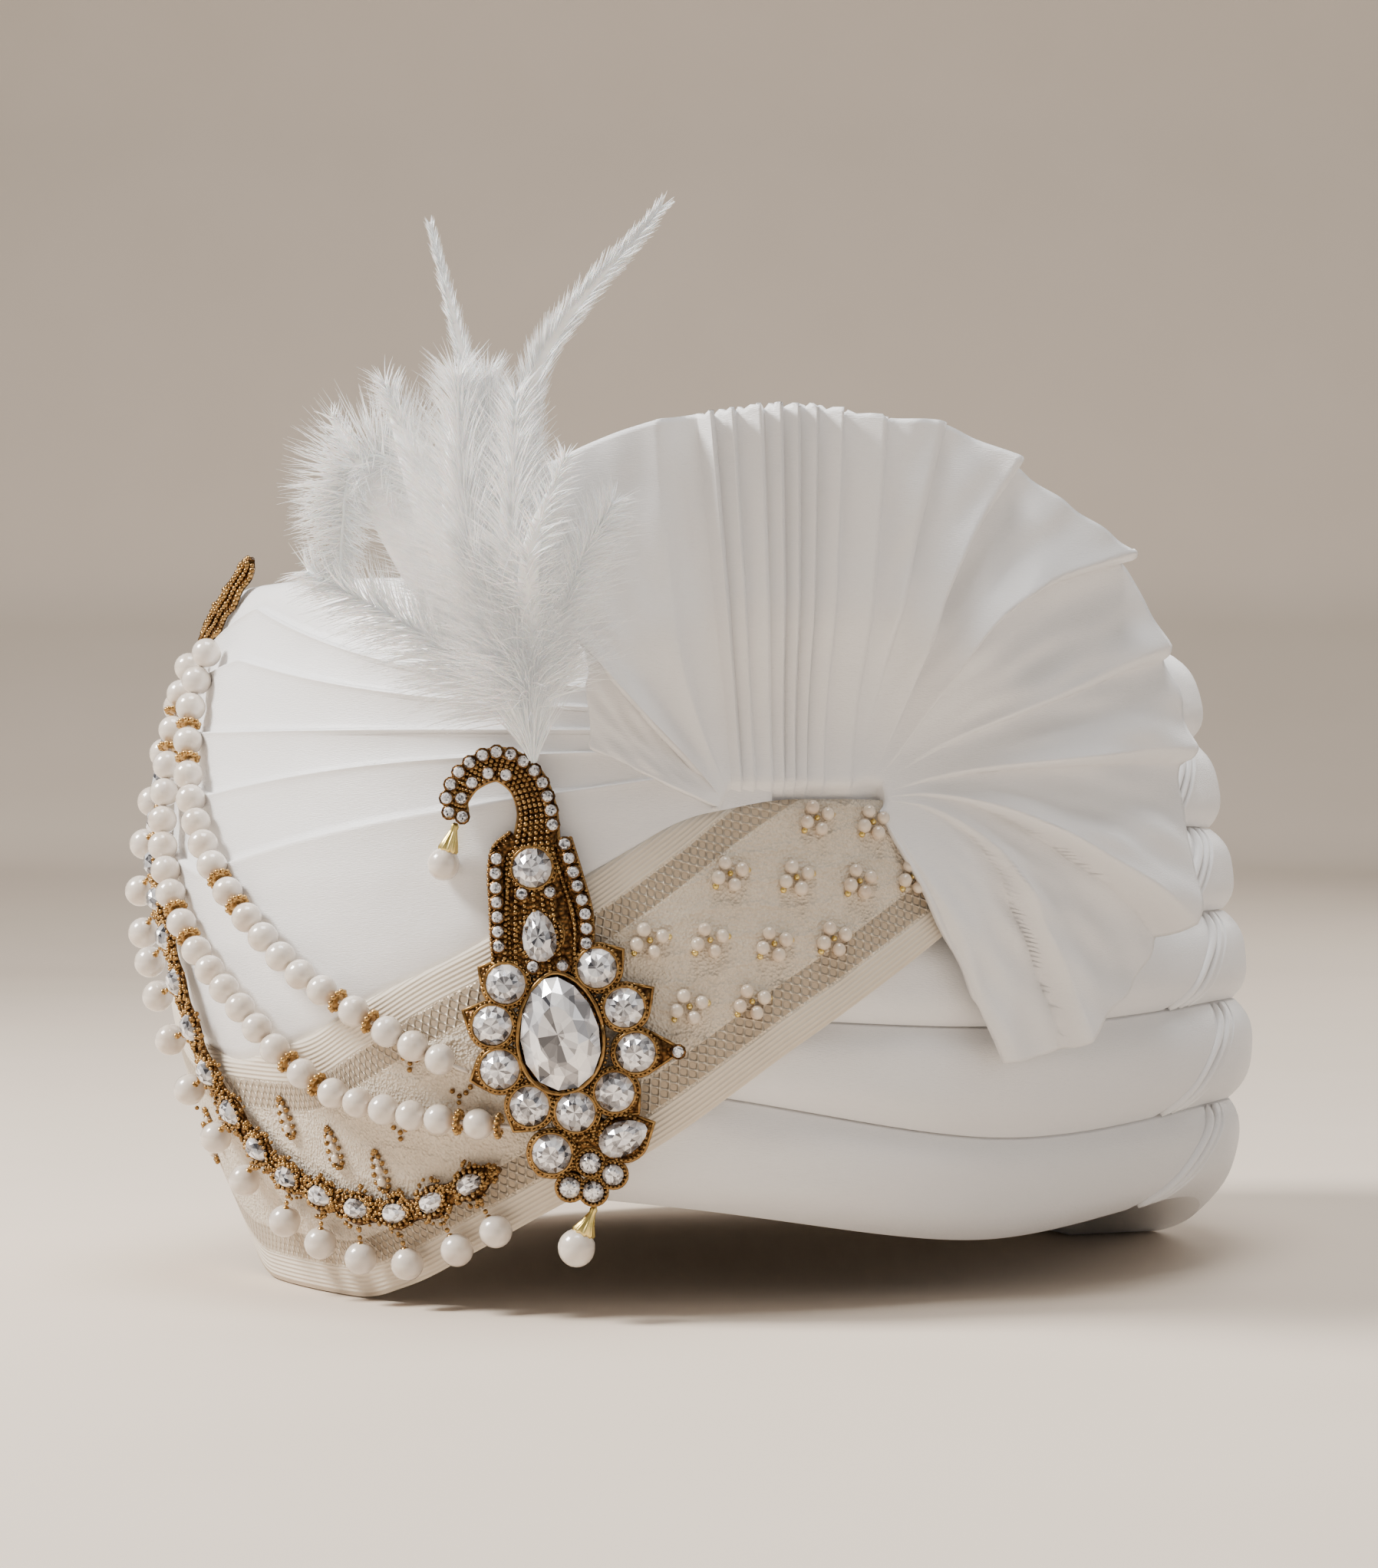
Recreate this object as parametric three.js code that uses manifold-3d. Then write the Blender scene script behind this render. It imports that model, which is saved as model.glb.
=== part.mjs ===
// A ready-tied turban (pagri) of ivory satin: wound rolls round a hollow cap, a pleated front panel,
// a cream lace band that makes the prow, a pleated fan on the wearer's left, and a brooch with a plume,
// two strings of pearls and a garland of set stones.
//
// Millimetres, +Z up. The wearer looks along -Y and the wearer's left is +X. Angles are in degrees from
// the front towards the wearer's left. The turban stands on the plane z = 0, on its prow and its back rim.

import * as THREE from "three";
import { mergeVertices } from "three/addons/utils/BufferGeometryUtils.js";
import Module from "manifold-3d";

const wasm = await Module();
wasm.setup();

// Wound body
const FRONT_REACH = 151;
const BACK_REACH = 147;
const HALF_WIDTH = 120;
const BODY_HEIGHT = 165;
const PLAN_POWER = 2.15;
const WIDEST_UP = 0.36;

// Cap and the hollow for the head
const HEAD_LENGTH = 200;
const HEAD_WIDTH = 165;
const CAP_WALL = 2.5;
const CAP_SPRING = 105;
const CAP_TOP = 170;
const CAP_EDGE_RISE = 3;
const CAP_CORNERS = 20;
const CAP_RISES = [0, 0.5, 0.86];

// Fits
const GAP = 0.3;
const WELD = 1e-4;
const ROLL_GAP = 0.7;
const WALL_CLEARANCE = 1.3;
const DOME_CLEARANCE = 3.4;

// Rolls
const ROLL_NOTCH = 4;
const RIM_TUCK = 6;
const CREST_TUCK = 7;
const SEAM_RISE = 6;
const CREST_FALL = 12;
const PIPING_LOW_ANGLE = 121;
const PIPING_HIGH_ANGLE = 134;
const BACK_STEPS = 10;

// Cloth layers on the body
const LAYER_LIFT = 1.8;
const PANEL_WALL = 2;
const PLEAT_STEP = 1.5;
const BAND_WALL = 2.4;
const BAND_ROWS = 4;
const LEAST_PLEAT = 0.2;

// Fan
const FAN_RADIUS = 92;
const FAN_WALL = 2.2;
const FAN_CLEARANCE = 0;
const FAN_ANGLE = 61.75;
const FAN_RELIEF = 5;
const FAN_FOOT_HALF_WIDTH = 14;
const FAN_FOOT_BEND = 4;
const FAN_FOOT_RISE = 5;
const KNIFE_PLEATS = 8;
const KNIFE_FROM = 76;
const KNIFE_TO = 105;
const KNIFE_LAP = 0.8;
const FOOT_RELIEF = 0.2;
const FRONT_STRETCH = 0.93;

// Brooch
const BROOCH_ANGLE = 38.5;
const BROOCH_HEIGHT = 68;
const BROOCH_TURN = 52;
const BROOCH_LIFT = 5.1;
const BROOCH_SPAN = 52;
const BROOCH_RISE = 104;
const BROOCH_LOW_FALL = 5;
const BROOCH_HIGH_FALL = 2;
const PLATE = 2.2;
const PETAL_SHOULDER = 0.9;
const DROP_NARROWING = 0.22;
const MAIN_CORNERS = 16;
const DROP_CORNERS = 10;
const ROUND_CORNERS = 8;
const STONE_SEAT_GAP = 0.6;
const MAIN_STONE_WIDTH = 20.8;
const MAIN_STONE_LENGTH = 26.8;
const RING_STONE = 9.4;
const SMALL_STONE = 5;
const STONE_HEIGHT = 3.4;
const MAIN_STONE_HEIGHT = 5.1;
const DROP_STONE_LENGTH = 12.2;
const TABLE_SHARE = 0.58;
const BEZEL = 1;

// Pearls, strings and garland
const PEARL = 7.4;
const SPACER_WIDTH = 2.6;
const SPACER = 6;
const THREAD = 2.2;
const UPPER_SETTLE = 0.8;
const LOWER_SETTLE = 0.4;
const DROP_PEARL = 8;
const ROUTE_STEPS = 24;
const GARLAND_WIDTH = 7;
const GARLAND_WALL = 2.4;
const GARLAND_PITCH = 12;
const GARLAND_STONE = 6.6;
const GARLAND_STONE_HEIGHT = 2.2;
const DROP_REACH = 12.5;
const LINK = 1.6;
const LINK_SECTION = [[1, -0.6], [-1, -0.6], [0, 1]];
const BEAD_CORNERS = 10;
const PEARL_BELLY = [0.26, 0.74];
const RING_BELLY = [0.5];
const BELLY_SIZE = 0.95;
const LEVEL_SLOPE = 0.15;
const CONNECTOR_WIDTH = 8;
const CONNECTOR_WALL = 2.6;
const CONNECTOR_WAIST = 0.72;
const CONNECTOR_STEPS = 8;
const CONNECTOR_SECTION = [[-0.5, 0], [0.5, 0], [0.25, 1], [-0.25, 1]];

// Plume
const PLUME_ROOT = 7;
const PLUME_SEAT = -3.8;
const PLUME_RISE = 118;
const LOCK_STEPS = 4;
const LOCK_CORNERS = 5;
const LOCK_LEAN = 1.15;
const LOCK_FLATNESS = 0.4;
const LOCK_TIP = 0.8;
const LOCK_SWELL_FROM = 0.2;
const LOCK_SWELL_TO = 0.95;

const DEGREE = Math.PI / 180;
const STATION = 12;

// Reach of the body at each height, as shares of the front reach, half width and back reach.
const GIRTH = [
  { up: 0, front: 0.825, side: 0.88, back: 0.93 },
  { up: 0.06, front: 0.84, side: 0.905, back: 0.95 },
  { up: 0.18, front: 0.895, side: 0.96, back: 0.985 },
  { up: 0.36, front: 0.965, side: 1, back: 1 },
  { up: 0.55, front: 1, side: 0.985, back: 0.975 },
  { up: 0.72, front: 0.99, side: 0.945, back: 0.945 },
  { up: 0.88, front: 0.955, side: 0.9, back: 0.905 },
  { up: 1, front: 0.91, side: 0.85, back: 0.87 },
  { up: 1.1, front: 0.86, side: 0.8, back: 0.83 },
];

// Heights of the lines between the rolls, as shares of the body's height, at every 45 degrees.
const LINES = [
  { name: "rim", stops: [0.2, 0.157, 0.082, 0.105, -0.02] },
  { name: "first", stops: [0.39, 0.33, 0.237, 0.255, 0.23] },
  { name: "second", stops: [0.45, 0.435, 0.403, 0.417, 0.4] },
  { name: "third", stops: [0.58, 0.568, 0.548, 0.56, 0.55] },
  { name: "fourth", stops: [0.71, 0.705, 0.697, 0.694, 0.685] },
  { name: "fifth", stops: [0.848, 0.846, 0.844, 0.838, 0.83] },
  { name: "crest", stops: [0.988, 0.988, 0.988, 0.985, 0.982] },
];
const STOP_ANGLE = 45;

// Corners of a roll's section, inner bottom first: height share within the roll and how far it is drawn in.
const ROLL_CORNERS = [
  { side: "inner", share: 0 },
  { side: "outer", share: 0, tuck: 1 },
  { side: "outer", share: 0.28, tuck: 0 },
  { side: "outer", share: 0.72, tuck: 0 },
  { side: "outer", share: 1, tuck: 1 },
  { side: "inner", share: 1 },
];

// Lace band: its lower and upper edge, as shares of the body's height.
const BAND = [
  { angle: -126, low: 0.925, high: 0.962 },
  { angle: -120, low: 0.87, high: 0.962 },
  { angle: -110, low: 0.79, high: 0.962 },
  { angle: -100, low: 0.71, high: 0.962 },
  { angle: -90, low: 0.63, high: 0.96 },
  { angle: -80, low: 0.548, high: 0.93 },
  { angle: -70, low: 0.462, high: 0.86 },
  { angle: -60, low: 0.372, high: 0.78 },
  { angle: -50, low: 0.268, high: 0.705 },
  { angle: -40, low: 0.18, high: 0.626 },
  { angle: -30, low: 0.105, high: 0.524 },
  { angle: -20, low: 0.036, high: 0.453 },
  { angle: -12, low: 0, high: 0.39 },
  { angle: 0, low: 0, high: 0.345 },
  { angle: 12, low: 0, high: 0.39 },
  { angle: 20, low: 0.036, high: 0.453 },
  { angle: 30, low: 0.105, high: 0.524 },
  { angle: 40, low: 0.18, high: 0.626 },
  { angle: 50, low: 0.268, high: 0.715 },
  { angle: 60, low: 0.372, high: 0.742 },
  { angle: 70, low: 0.462, high: 0.742 },
  { angle: 80, low: 0.548, high: 0.735 },
  { angle: 86, low: 0.6, high: 0.72 },
];

// Front pleats, lowest first: the height of each folded edge at the ridge, at the temples and where the
// pleats run together, and the panel's own top fold, as shares of the body's height.
const PLEATS = [
  { ridge: 0.63, temple: 0.718, gather: 0.79 },
  { ridge: 0.748, temple: 0.797, gather: 0.815 },
  { ridge: 0.842, temple: 0.842, gather: 0.84 },
  { ridge: 0.952, temple: 0.891, gather: 0.862 },
  { ridge: 1.03, temple: 0.93, gather: 0.884 },
];
const PANEL_TOP = [
  { angle: 0, up: 1.06 },
  { angle: 26, up: 1.05 },
  { angle: 42, up: 1 },
  { angle: 58, up: 0.965 },
  { angle: 80, up: 0.955 },
];
const PANEL_FROM = -72;
const PANEL_TO = 60;
const PANEL_RIDGE_ANGLE = -2;
const TEMPLE_ANGLE = 26;
const GATHER_ANGLE = 58;

// Fan folds outside the knife pleats: direction from the foot, reach and lift as shares.
const FAN_TAIL_FOLDS = [
  { turn: -53, reach: 0.935, lift: 0.1 },
  { turn: -49, reach: 0.98, lift: 0.75 },
  { turn: -44, reach: 1.03, lift: 0.15 },
  { turn: -36, reach: 1.07, lift: 0.45 },
  { turn: -27, reach: 1.15, lift: 0.1 },
  { turn: -18, reach: 1.215, lift: 0.8 },
  { turn: -8, reach: 1.2, lift: 0.15 },
  { turn: 0, reach: 1.2, lift: 0.35 },
  { turn: 5, reach: 1.215, lift: 1 },
  { turn: 11, reach: 1.2, lift: 0.25 },
  { turn: 20, reach: 1.16, lift: 0.15 },
  { turn: 30, reach: 1.13, lift: 0.95 },
  { turn: 37, reach: 1.075, lift: 0.3 },
  { turn: 46, reach: 1.03, lift: 0.1 },
  { turn: 55, reach: 1.015, lift: 0.8 },
  { turn: 61, reach: 1, lift: 0.3 },
  { turn: 68, reach: 0.995, lift: 0.15 },
];
const FAN_FACE_FOLDS = [
  { turn: 109, reach: 0.962, lift: 0.15 },
  { turn: 117, reach: 0.97, lift: 0.85 },
  { turn: 123, reach: 0.974, lift: 0.2 },
  { turn: 132, reach: 0.964, lift: 0.45 },
  { turn: 140, reach: 0.73, lift: 0.1 },
  { turn: 149, reach: 0.58, lift: 0.7 },
  { turn: 155, reach: 0.55, lift: 0.25 },
  { turn: 163, reach: 0.51, lift: 0.5 },
  { turn: 171, reach: 0.49, lift: 0.1 },
];
const FAN_RINGS = [0, 0.3, 0.62, 1];
const KNIFE_REACH = 0.957;
const KNIFE_LIFT = 0.42;

// Brooch parts in its own plane, from the centre of the main stone: across as a share of the brooch's
// span, up as a share of its rise. A petal's tip is given the same way.
const RING_PETALS = [
  { across: -0.244, up: 0.11, tipAcross: -0.369, tipUp: 0.146 },
  { across: -0.304, up: 0.017, tipAcross: -0.44, tipUp: 0.049 },
  { across: -0.271, up: -0.082, tipAcross: -0.405, tipUp: -0.108 },
  { across: -0.138, up: -0.164, tipAcross: -0.212, tipUp: -0.222 },
  { across: 0.069, up: -0.176, tipAcross: 0.087, tipUp: -0.242 },
  { across: 0.246, up: -0.131, tipAcross: 0.352, tipUp: -0.18 },
  { across: 0.34, up: -0.042, tipAcross: 0.554, tipUp: -0.036 },
  { across: 0.29, up: 0.058, tipAcross: 0.417, tipUp: 0.102 },
  { across: 0.167, up: 0.146, tipAcross: 0.283, tipUp: 0.187 },
];
const NECK_DROP = { across: -0.094, up: 0.217, tipAcross: -0.115, tipUp: 0.3 };
const NECK_ROUND = { across: -0.127, up: 0.37, tipAcross: -0.13, tipUp: 0.43 };
const LOWER_ROUND = { across: -0.04, up: -0.271, tipAcross: -0.1, tipUp: -0.32 };
const LOWER_DROP = { across: 0.283, up: -0.234, tipAcross: 0.421, tipUp: -0.2 };
const CLUSTER = [
  { across: 0.133, up: -0.292 },
  { across: 0.235, up: -0.318 },
  { across: 0.04, up: -0.348 },
  { across: 0.145, up: -0.357 },
];
const LOWER_WEB = { across: 0.105, up: -0.25, size: 0.29 };
const HOOK = [
  { across: -0.09, up: 0.13, width: 0.4 },
  { across: -0.11, up: 0.25, width: 0.34 },
  { across: -0.12, up: 0.34, width: 0.28 },
  { across: -0.11, up: 0.43, width: 0.21 },
  { across: -0.11, up: 0.5, width: 0.175 },
  { across: -0.165, up: 0.567, width: 0.165 },
  { across: -0.285, up: 0.602, width: 0.15 },
  { across: -0.412, up: 0.575, width: 0.13 },
  { across: -0.475, up: 0.525, width: 0.11 },
  { across: -0.462, up: 0.482, width: 0.085 },
];
const LEFT_ARM = [
  { across: -0.26, up: 0.14, width: 0.085 },
  { across: -0.275, up: 0.27, width: 0.085 },
  { across: -0.275, up: 0.4, width: 0.085 },
  { across: -0.2, up: 0.435, width: 0.085 },
];
const RIGHT_ARM = [
  { across: 0.105, up: 0.15, width: 0.085 },
  { across: 0.102, up: 0.26, width: 0.085 },
  { across: 0.05, up: 0.35, width: 0.095 },
  { across: 0, up: 0.43, width: 0.095 },
];
// Where the two drops hang, and how far each leans, in degrees.
const HOOK_DROP = { across: -0.478, up: 0.466, lean: -12 };
const LOWER_HANG = { across: 0.145, up: -0.396, lean: -17 };

// Lathe profile of a drop, from its loop down to the tip: radius as a share of the pearl's radius and
// depth as a share of the drop's length.
const DROP_PROFILE = [
  { out: 0, down: 0 },
  { out: 0.22, down: 0.02 },
  { out: 0.24, down: 0.16 },
  { out: 0.62, down: 0.32 },
  { out: 0.66, down: 0.46 },
  { out: 1, down: 0.72 },
  { out: 0.7, down: 0.93 },
  { out: 0, down: 1 },
];
const DROP_LENGTH = 14;
const DROP_BELLY = 0.72;
const LOWER_DROP_OUT = 0.4;
const LOWER_PEARL = 9;

// Plume locks in the brooch's plane, as shares of the plume's rise: middle and end of each, the width
// at its middle, and how far it leans out.
const LOCKS = [
  { midAcross: -0.1, midUp: 0.6, endAcross: -0.19, endUp: 0.975, width: 0.1, out: 0.15 },
  { midAcross: 0.02, midUp: 0.68, endAcross: 0.265, endUp: 1, width: 0.1, out: 0.17 },
  { midAcross: -0.11, midUp: 0.35, endAcross: -0.13, endUp: 0.66, width: 0.27, out: 0.19 },
  { midAcross: -0.02, midUp: 0.34, endAcross: -0.01, endUp: 0.62, width: 0.15, out: 0.25 },
  { midAcross: -0.17, midUp: 0.38, endAcross: -0.28, endUp: 0.66, width: 0.25, out: 0.13 },
  { midAcross: -0.23, midUp: 0.33, endAcross: -0.39, endUp: 0.6, width: 0.22, out: 0.11 },
  { midAcross: -0.3, midUp: 0.52, endAcross: -0.4, endUp: 0.34, width: 0.13, out: 0.12 },
  { midAcross: -0.22, midUp: 0.18, endAcross: -0.44, endUp: 0.3, width: 0.19, out: 0.1 },
  { midAcross: 0.02, midUp: 0.32, endAcross: 0.09, endUp: 0.5, width: 0.11, out: 0.3 },
];
const PLUME_BASE = { across: -0.12, up: 0.692 };

// The routes of the strings are chosen by hand: angle, height as a share of the body's height.
const ROUTES = {
  upper: [[-8.4, 0.985], [-8.8, 0.91], [-5.6, 0.803], [-2.5, 0.727], [2, 0.648], [8.5, 0.561], [13.5, 0.497],
    [18.8, 0.448], [23.5, 0.407], [27.4, 0.377]],
  lower: [[-15, 0.965], [-13.6, 0.87], [-11.5, 0.779], [-9.8, 0.694], [-5.8, 0.6], [-0.5, 0.515], [6, 0.433],
    [10.5, 0.37], [15.5, 0.321], [22, 0.295], [29.4, 0.282]],
  garland: [[-21.5, 0.95], [-19.8, 0.83], [-17.5, 0.74], [-14.2, 0.64], [-8.5, 0.53], [-5.5, 0.41],
    [-3.4, 0.32], [2.5, 0.207], [8.8, 0.162], [15, 0.142], [20.8, 0.142], [26, 0.17], [32.3, 0.214]],
  connector: [[-18, 0.985], [-14.5, 1.01], [-11, 1.05], [-8, 1.11]],
};
const UPPER_PATTERN = "PPPRPRPPPPPRPRPPPPPRPRPP";
const LOWER_PATTERN = "PPRPRPPPPPPRPRPPPPPPRPRPPP";

const materials = {
  satin: new THREE.MeshStandardMaterial({ color: 0xf1eeea, roughness: 0.42, metalness: 0 }),
  lace: new THREE.MeshStandardMaterial({ color: 0xe6d8c3, roughness: 0.75, metalness: 0 }),
  cap: new THREE.MeshStandardMaterial({ color: 0xe9e4dc, roughness: 0.8, metalness: 0 }),
  gold: new THREE.MeshStandardMaterial({ color: 0x9a6b32, roughness: 0.35, metalness: 1 }),
  stone: new THREE.MeshStandardMaterial({ color: 0xdfe3ea, roughness: 0.05, metalness: 0 }),
  pearl: new THREE.MeshStandardMaterial({ color: 0xf3ece2, roughness: 0.2, metalness: 0 }),
  feather: new THREE.MeshStandardMaterial({ color: 0xf7f6f5, roughness: 0.9, metalness: 0 }),
};

function hermite(from, to, slopeFrom, slopeTo, t) {
  const t2 = t * t;
  const t3 = t2 * t;
  return (2 * t3 - 3 * t2 + 1) * from + (t3 - 2 * t2 + t) * slopeFrom
    + (3 * t2 - 2 * t3) * to + (t3 - t2) * slopeTo;
}

// Smooth curve through the rows of a table, held level beyond its ends.
function blend(rows, key, column, at) {
  const last = rows.length - 1;
  let i = 0;
  while (i < last - 1 && at > rows[i + 1][key]) {
    i += 1;
  }
  const slope = (k) => {
    const a = rows[Math.max(k - 1, 0)];
    const b = rows[Math.min(k + 1, last)];
    return (b[column] - a[column]) / (b[key] - a[key]);
  };
  const span = rows[i + 1][key] - rows[i][key];
  const t = THREE.MathUtils.clamp((at - rows[i][key]) / span, 0, 1);
  return hermite(rows[i][column], rows[i + 1][column], slope(i) * span, slope(i + 1) * span, t);
}

// Angles at which the cloth is folded flat: the two ends and the even steps between them.
function stationAngles(from, to) {
  const angles = [from];
  for (let angle = Math.ceil(from / STATION) * STATION; angle < to; angle += STATION) {
    if (angle - from > STATION / 4 && to - angle > STATION / 4) {
      angles.push(angle);
    }
  }
  return [...angles, to];
}

// Straight lines through the rows of a table.
function follow(rows, key, column, at) {
  let i = 0;
  while (i < rows.length - 2 && at > rows[i + 1][key]) {
    i += 1;
  }
  const t = THREE.MathUtils.clamp((at - rows[i][key]) / (rows[i + 1][key] - rows[i][key]), 0, 1);
  return THREE.MathUtils.lerp(rows[i][column], rows[i + 1][column], t);
}

// Height of a line between rolls: the same on both sides of the head, and never under the ground.
function lineHeight(line, angle) {
  const stops = LINES[line].stops;
  const folded = Math.abs(((angle + 180) % 360 + 360) % 360 - 180);
  const last = stops.length - 1;
  const place = folded / STOP_ANGLE;
  const i = Math.min(Math.floor(place), last - 1);
  const at = (k) => stops[last - Math.abs(last - Math.abs(k))];
  const up = hermite(at(i), at(i + 1), (at(i + 1) - at(i - 1)) / 2, (at(i + 2) - at(i)) / 2, place - i);
  return Math.max(up, 0) * BODY_HEIGHT;
}

// Distance from the axis to the body's skin.
function bodyRadius(angle, height) {
  const up = height / BODY_HEIGHT;
  const sine = Math.abs(Math.sin(angle * DEGREE));
  const cosine = Math.cos(angle * DEGREE);
  const along = cosine > 0
    ? FRONT_REACH * blend(GIRTH, "up", "front", up)
    : BACK_REACH * blend(GIRTH, "up", "back", up);
  const wide = HALF_WIDTH * blend(GIRTH, "up", "side", up);
  const sum = (sine / wide) ** PLAN_POWER + (Math.abs(cosine) / along) ** PLAN_POWER;
  return sum ** (-1 / PLAN_POWER);
}

// Distance from the axis to the outside of the cap.
function capRadius(angle, height, wall = 0) {
  const sine = Math.sin(angle * DEGREE) / (HEAD_WIDTH / 2 + CAP_WALL - wall);
  const cosine = Math.cos(angle * DEGREE) / (HEAD_LENGTH / 2 + CAP_WALL - wall);
  const rise = Math.max(0, (height - CAP_SPRING) / (CAP_TOP - wall - CAP_SPRING));
  return Math.sqrt(Math.max(0, 1 - rise * rise)) / Math.hypot(sine, cosine);
}

function polar(angle, radius, height) {
  return new THREE.Vector3(radius * Math.sin(angle * DEGREE), -radius * Math.cos(angle * DEGREE), height);
}

function onBody(angle, height, lift = 0) {
  return polar(angle, bodyRadius(angle, height) + lift, height);
}

function signedVolume(positions, index) {
  const a = new THREE.Vector3();
  const b = new THREE.Vector3();
  const c = new THREE.Vector3();
  let sum = 0;
  for (let i = 0; i < index.length; i += 3) {
    a.fromArray(positions, index[i] * 3);
    b.fromArray(positions, index[i + 1] * 3);
    c.fromArray(positions, index[i + 2] * 3);
    sum += a.dot(b.cross(c));
  }
  return sum / 6;
}

function solidFrom(positions, index) {
  if (signedVolume(positions, index) < 0) {
    for (let i = 0; i < index.length; i += 3) {
      [index[i], index[i + 1]] = [index[i + 1], index[i]];
    }
  }
  const geometry = new THREE.BufferGeometry();
  geometry.setAttribute("position", new THREE.Float32BufferAttribute(positions, 3));
  geometry.setIndex(index);
  return geometry;
}

// A closed body through sections that have the same number of corners, with a flat cap at each end.
function loft(sections) {
  const corners = sections[0].length;
  const positions = sections.flat().flatMap((point) => point.toArray());
  const index = [];
  for (let i = 0; i + 1 < sections.length; i += 1) {
    for (let j = 0; j < corners; j += 1) {
      const a = i * corners + j;
      const b = i * corners + (j + 1) % corners;
      index.push(a, b, b + corners, a, b + corners, a + corners);
    }
  }
  const end = (sections.length - 1) * corners;
  const half = Math.floor(corners / 2);
  for (let j = 0; j < half - 1; j += 1) {
    const other = corners - 1 - j;
    index.push(j, other, j + 1, j + 1, other, other - 1);
    index.push(end + j, end + j + 1, end + other, end + j + 1, end + other - 1, end + other);
  }
  if (corners % 2 === 1) {
    index.push(half - 1, half + 1, half, end + half - 1, end + half, end + half + 1);
  }
  return solidFrom(positions, index);
}

function toManifold(geometry) {
  const plain = new THREE.BufferGeometry();
  plain.setAttribute("position", geometry.getAttribute("position").clone());
  plain.setIndex(geometry.index);
  const merged = mergeVertices(plain, WELD);
  return new wasm.Manifold(new wasm.Mesh({
    numProp: 3,
    vertProperties: Float32Array.from(merged.getAttribute("position").array),
    triVerts: Uint32Array.from(merged.index.array),
  }));
}

function fuse(geometries) {
  const joined = geometries.map(toManifold).reduce((sum, next) => sum.add(next));
  const mesh = joined.getMesh();
  const positions = [];
  for (let i = 0; i < mesh.vertProperties.length; i += mesh.numProp) {
    positions.push(mesh.vertProperties[i], mesh.vertProperties[i + 1], mesh.vertProperties[i + 2]);
  }
  return solidFrom(positions, Array.from(mesh.triVerts));
}

// Cap: outer and inner skin, joined at the lower edge.
function capGeometry() {
  const around = CAP_CORNERS;
  const spokes = Array.from({ length: around }, (_, i) => (360 * i) / around);
  const edge = (angle) => lineHeight(0, angle) + CAP_EDGE_RISE;
  const skin = (wall) => [
    spokes.map((angle) => polar(angle, capRadius(angle, 0, wall), edge(angle))),
    ...CAP_RISES.map((rise) => spokes.map((angle) => {
      const height = CAP_SPRING + (CAP_TOP - wall - CAP_SPRING) * rise;
      return polar(angle, capRadius(angle, height, wall), height);
    })),
  ];
  const rings = [...skin(0).reverse(), ...skin(CAP_WALL)];
  const positions = rings.flat().flatMap((point) => point.toArray());
  const index = [];
  for (let i = 0; i + 1 < rings.length; i += 1) {
    for (let j = 0; j < around; j += 1) {
      const a = i * around + j;
      const b = i * around + (j + 1) % around;
      index.push(a, b, b + around, a, b + around, a + around);
    }
  }
  const outerPole = positions.length / 3;
  positions.push(0, 0, CAP_TOP, 0, 0, CAP_TOP - CAP_WALL);
  const inner = (rings.length - 1) * around;
  for (let j = 0; j < around; j += 1) {
    const next = (j + 1) % around;
    index.push(outerPole, next, j);
    index.push(outerPole + 1, inner + j, inner + next);
  }
  return solidFrom(positions, index);
}

// One corner of a roll. The piping leans back, so a corner's own angle depends on its height share.
function rollCorner(tier, corner, angle) {
  const low = lineHeight(tier, angle) + (tier > 0 ? ROLL_GAP / 2 : 0);
  const top = tier === LINES.length - 2;
  const high = lineHeight(tier + 1, angle) - (top ? 0 : ROLL_GAP / 2);
  const height = THREE.MathUtils.lerp(low, high, corner.share);
  if (corner.side === "outer") {
    const rimTuck = tier === 0 && corner.share === 0 ? RIM_TUCK : ROLL_NOTCH;
    const tuck = top && corner.share === 1 ? CREST_TUCK : rimTuck;
    return onBody(angle, height, -tuck * corner.tuck);
  }
  const lowerRise = tier > 0 ? SEAM_RISE : 0;
  const upperRise = top ? -CREST_FALL : SEAM_RISE;
  const inside = height + (corner.share === 0 ? lowerRise : upperRise);
  const clearance = inside > CAP_SPRING ? DOME_CLEARANCE : WALL_CLEARANCE;
  return polar(angle, capRadius(angle, inside) + clearance, inside);
}

// The piping leans back on the outside of a roll and stands upright inside it.
function pipingAngle(corner) {
  const lean = corner.side === "outer" ? corner.share : 0.5;
  return THREE.MathUtils.lerp(PIPING_LOW_ANGLE, PIPING_HIGH_ANGLE, lean);
}

function sideRollGeometry(tier, side) {
  const parting = (ROLL_GAP / 2 / capRadius(0, 0)) / DEGREE;
  const lastStraight = Math.floor(PIPING_LOW_ANGLE / STATION - 1) * STATION;
  const stations = [
    ...stationAngles(parting, lastStraight).map((angle) => () => angle),
    (corner) => (lastStraight + pipingAngle(corner)) / 2,
    (corner) => pipingAngle(corner),
  ];
  return loft(stations.map((angleAt) => ROLL_CORNERS.map(
    (corner) => rollCorner(tier, corner, side * angleAt(corner)),
  )));
}

function backRollGeometry(tier) {
  const parting = (ROLL_GAP / (HEAD_WIDTH / 2)) / DEGREE;
  const sections = [];
  for (let i = 0; i <= BACK_STEPS; i += 1) {
    sections.push(ROLL_CORNERS.map((corner) => {
      const from = pipingAngle(corner) + parting;
      return rollCorner(tier, corner, THREE.MathUtils.lerp(from, 360 - from, i / BACK_STEPS));
    }));
  }
  return loft(sections);
}

function bandEdge(column, angle) {
  return follow(BAND, "angle", column, angle) * BODY_HEIGHT;
}

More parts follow.
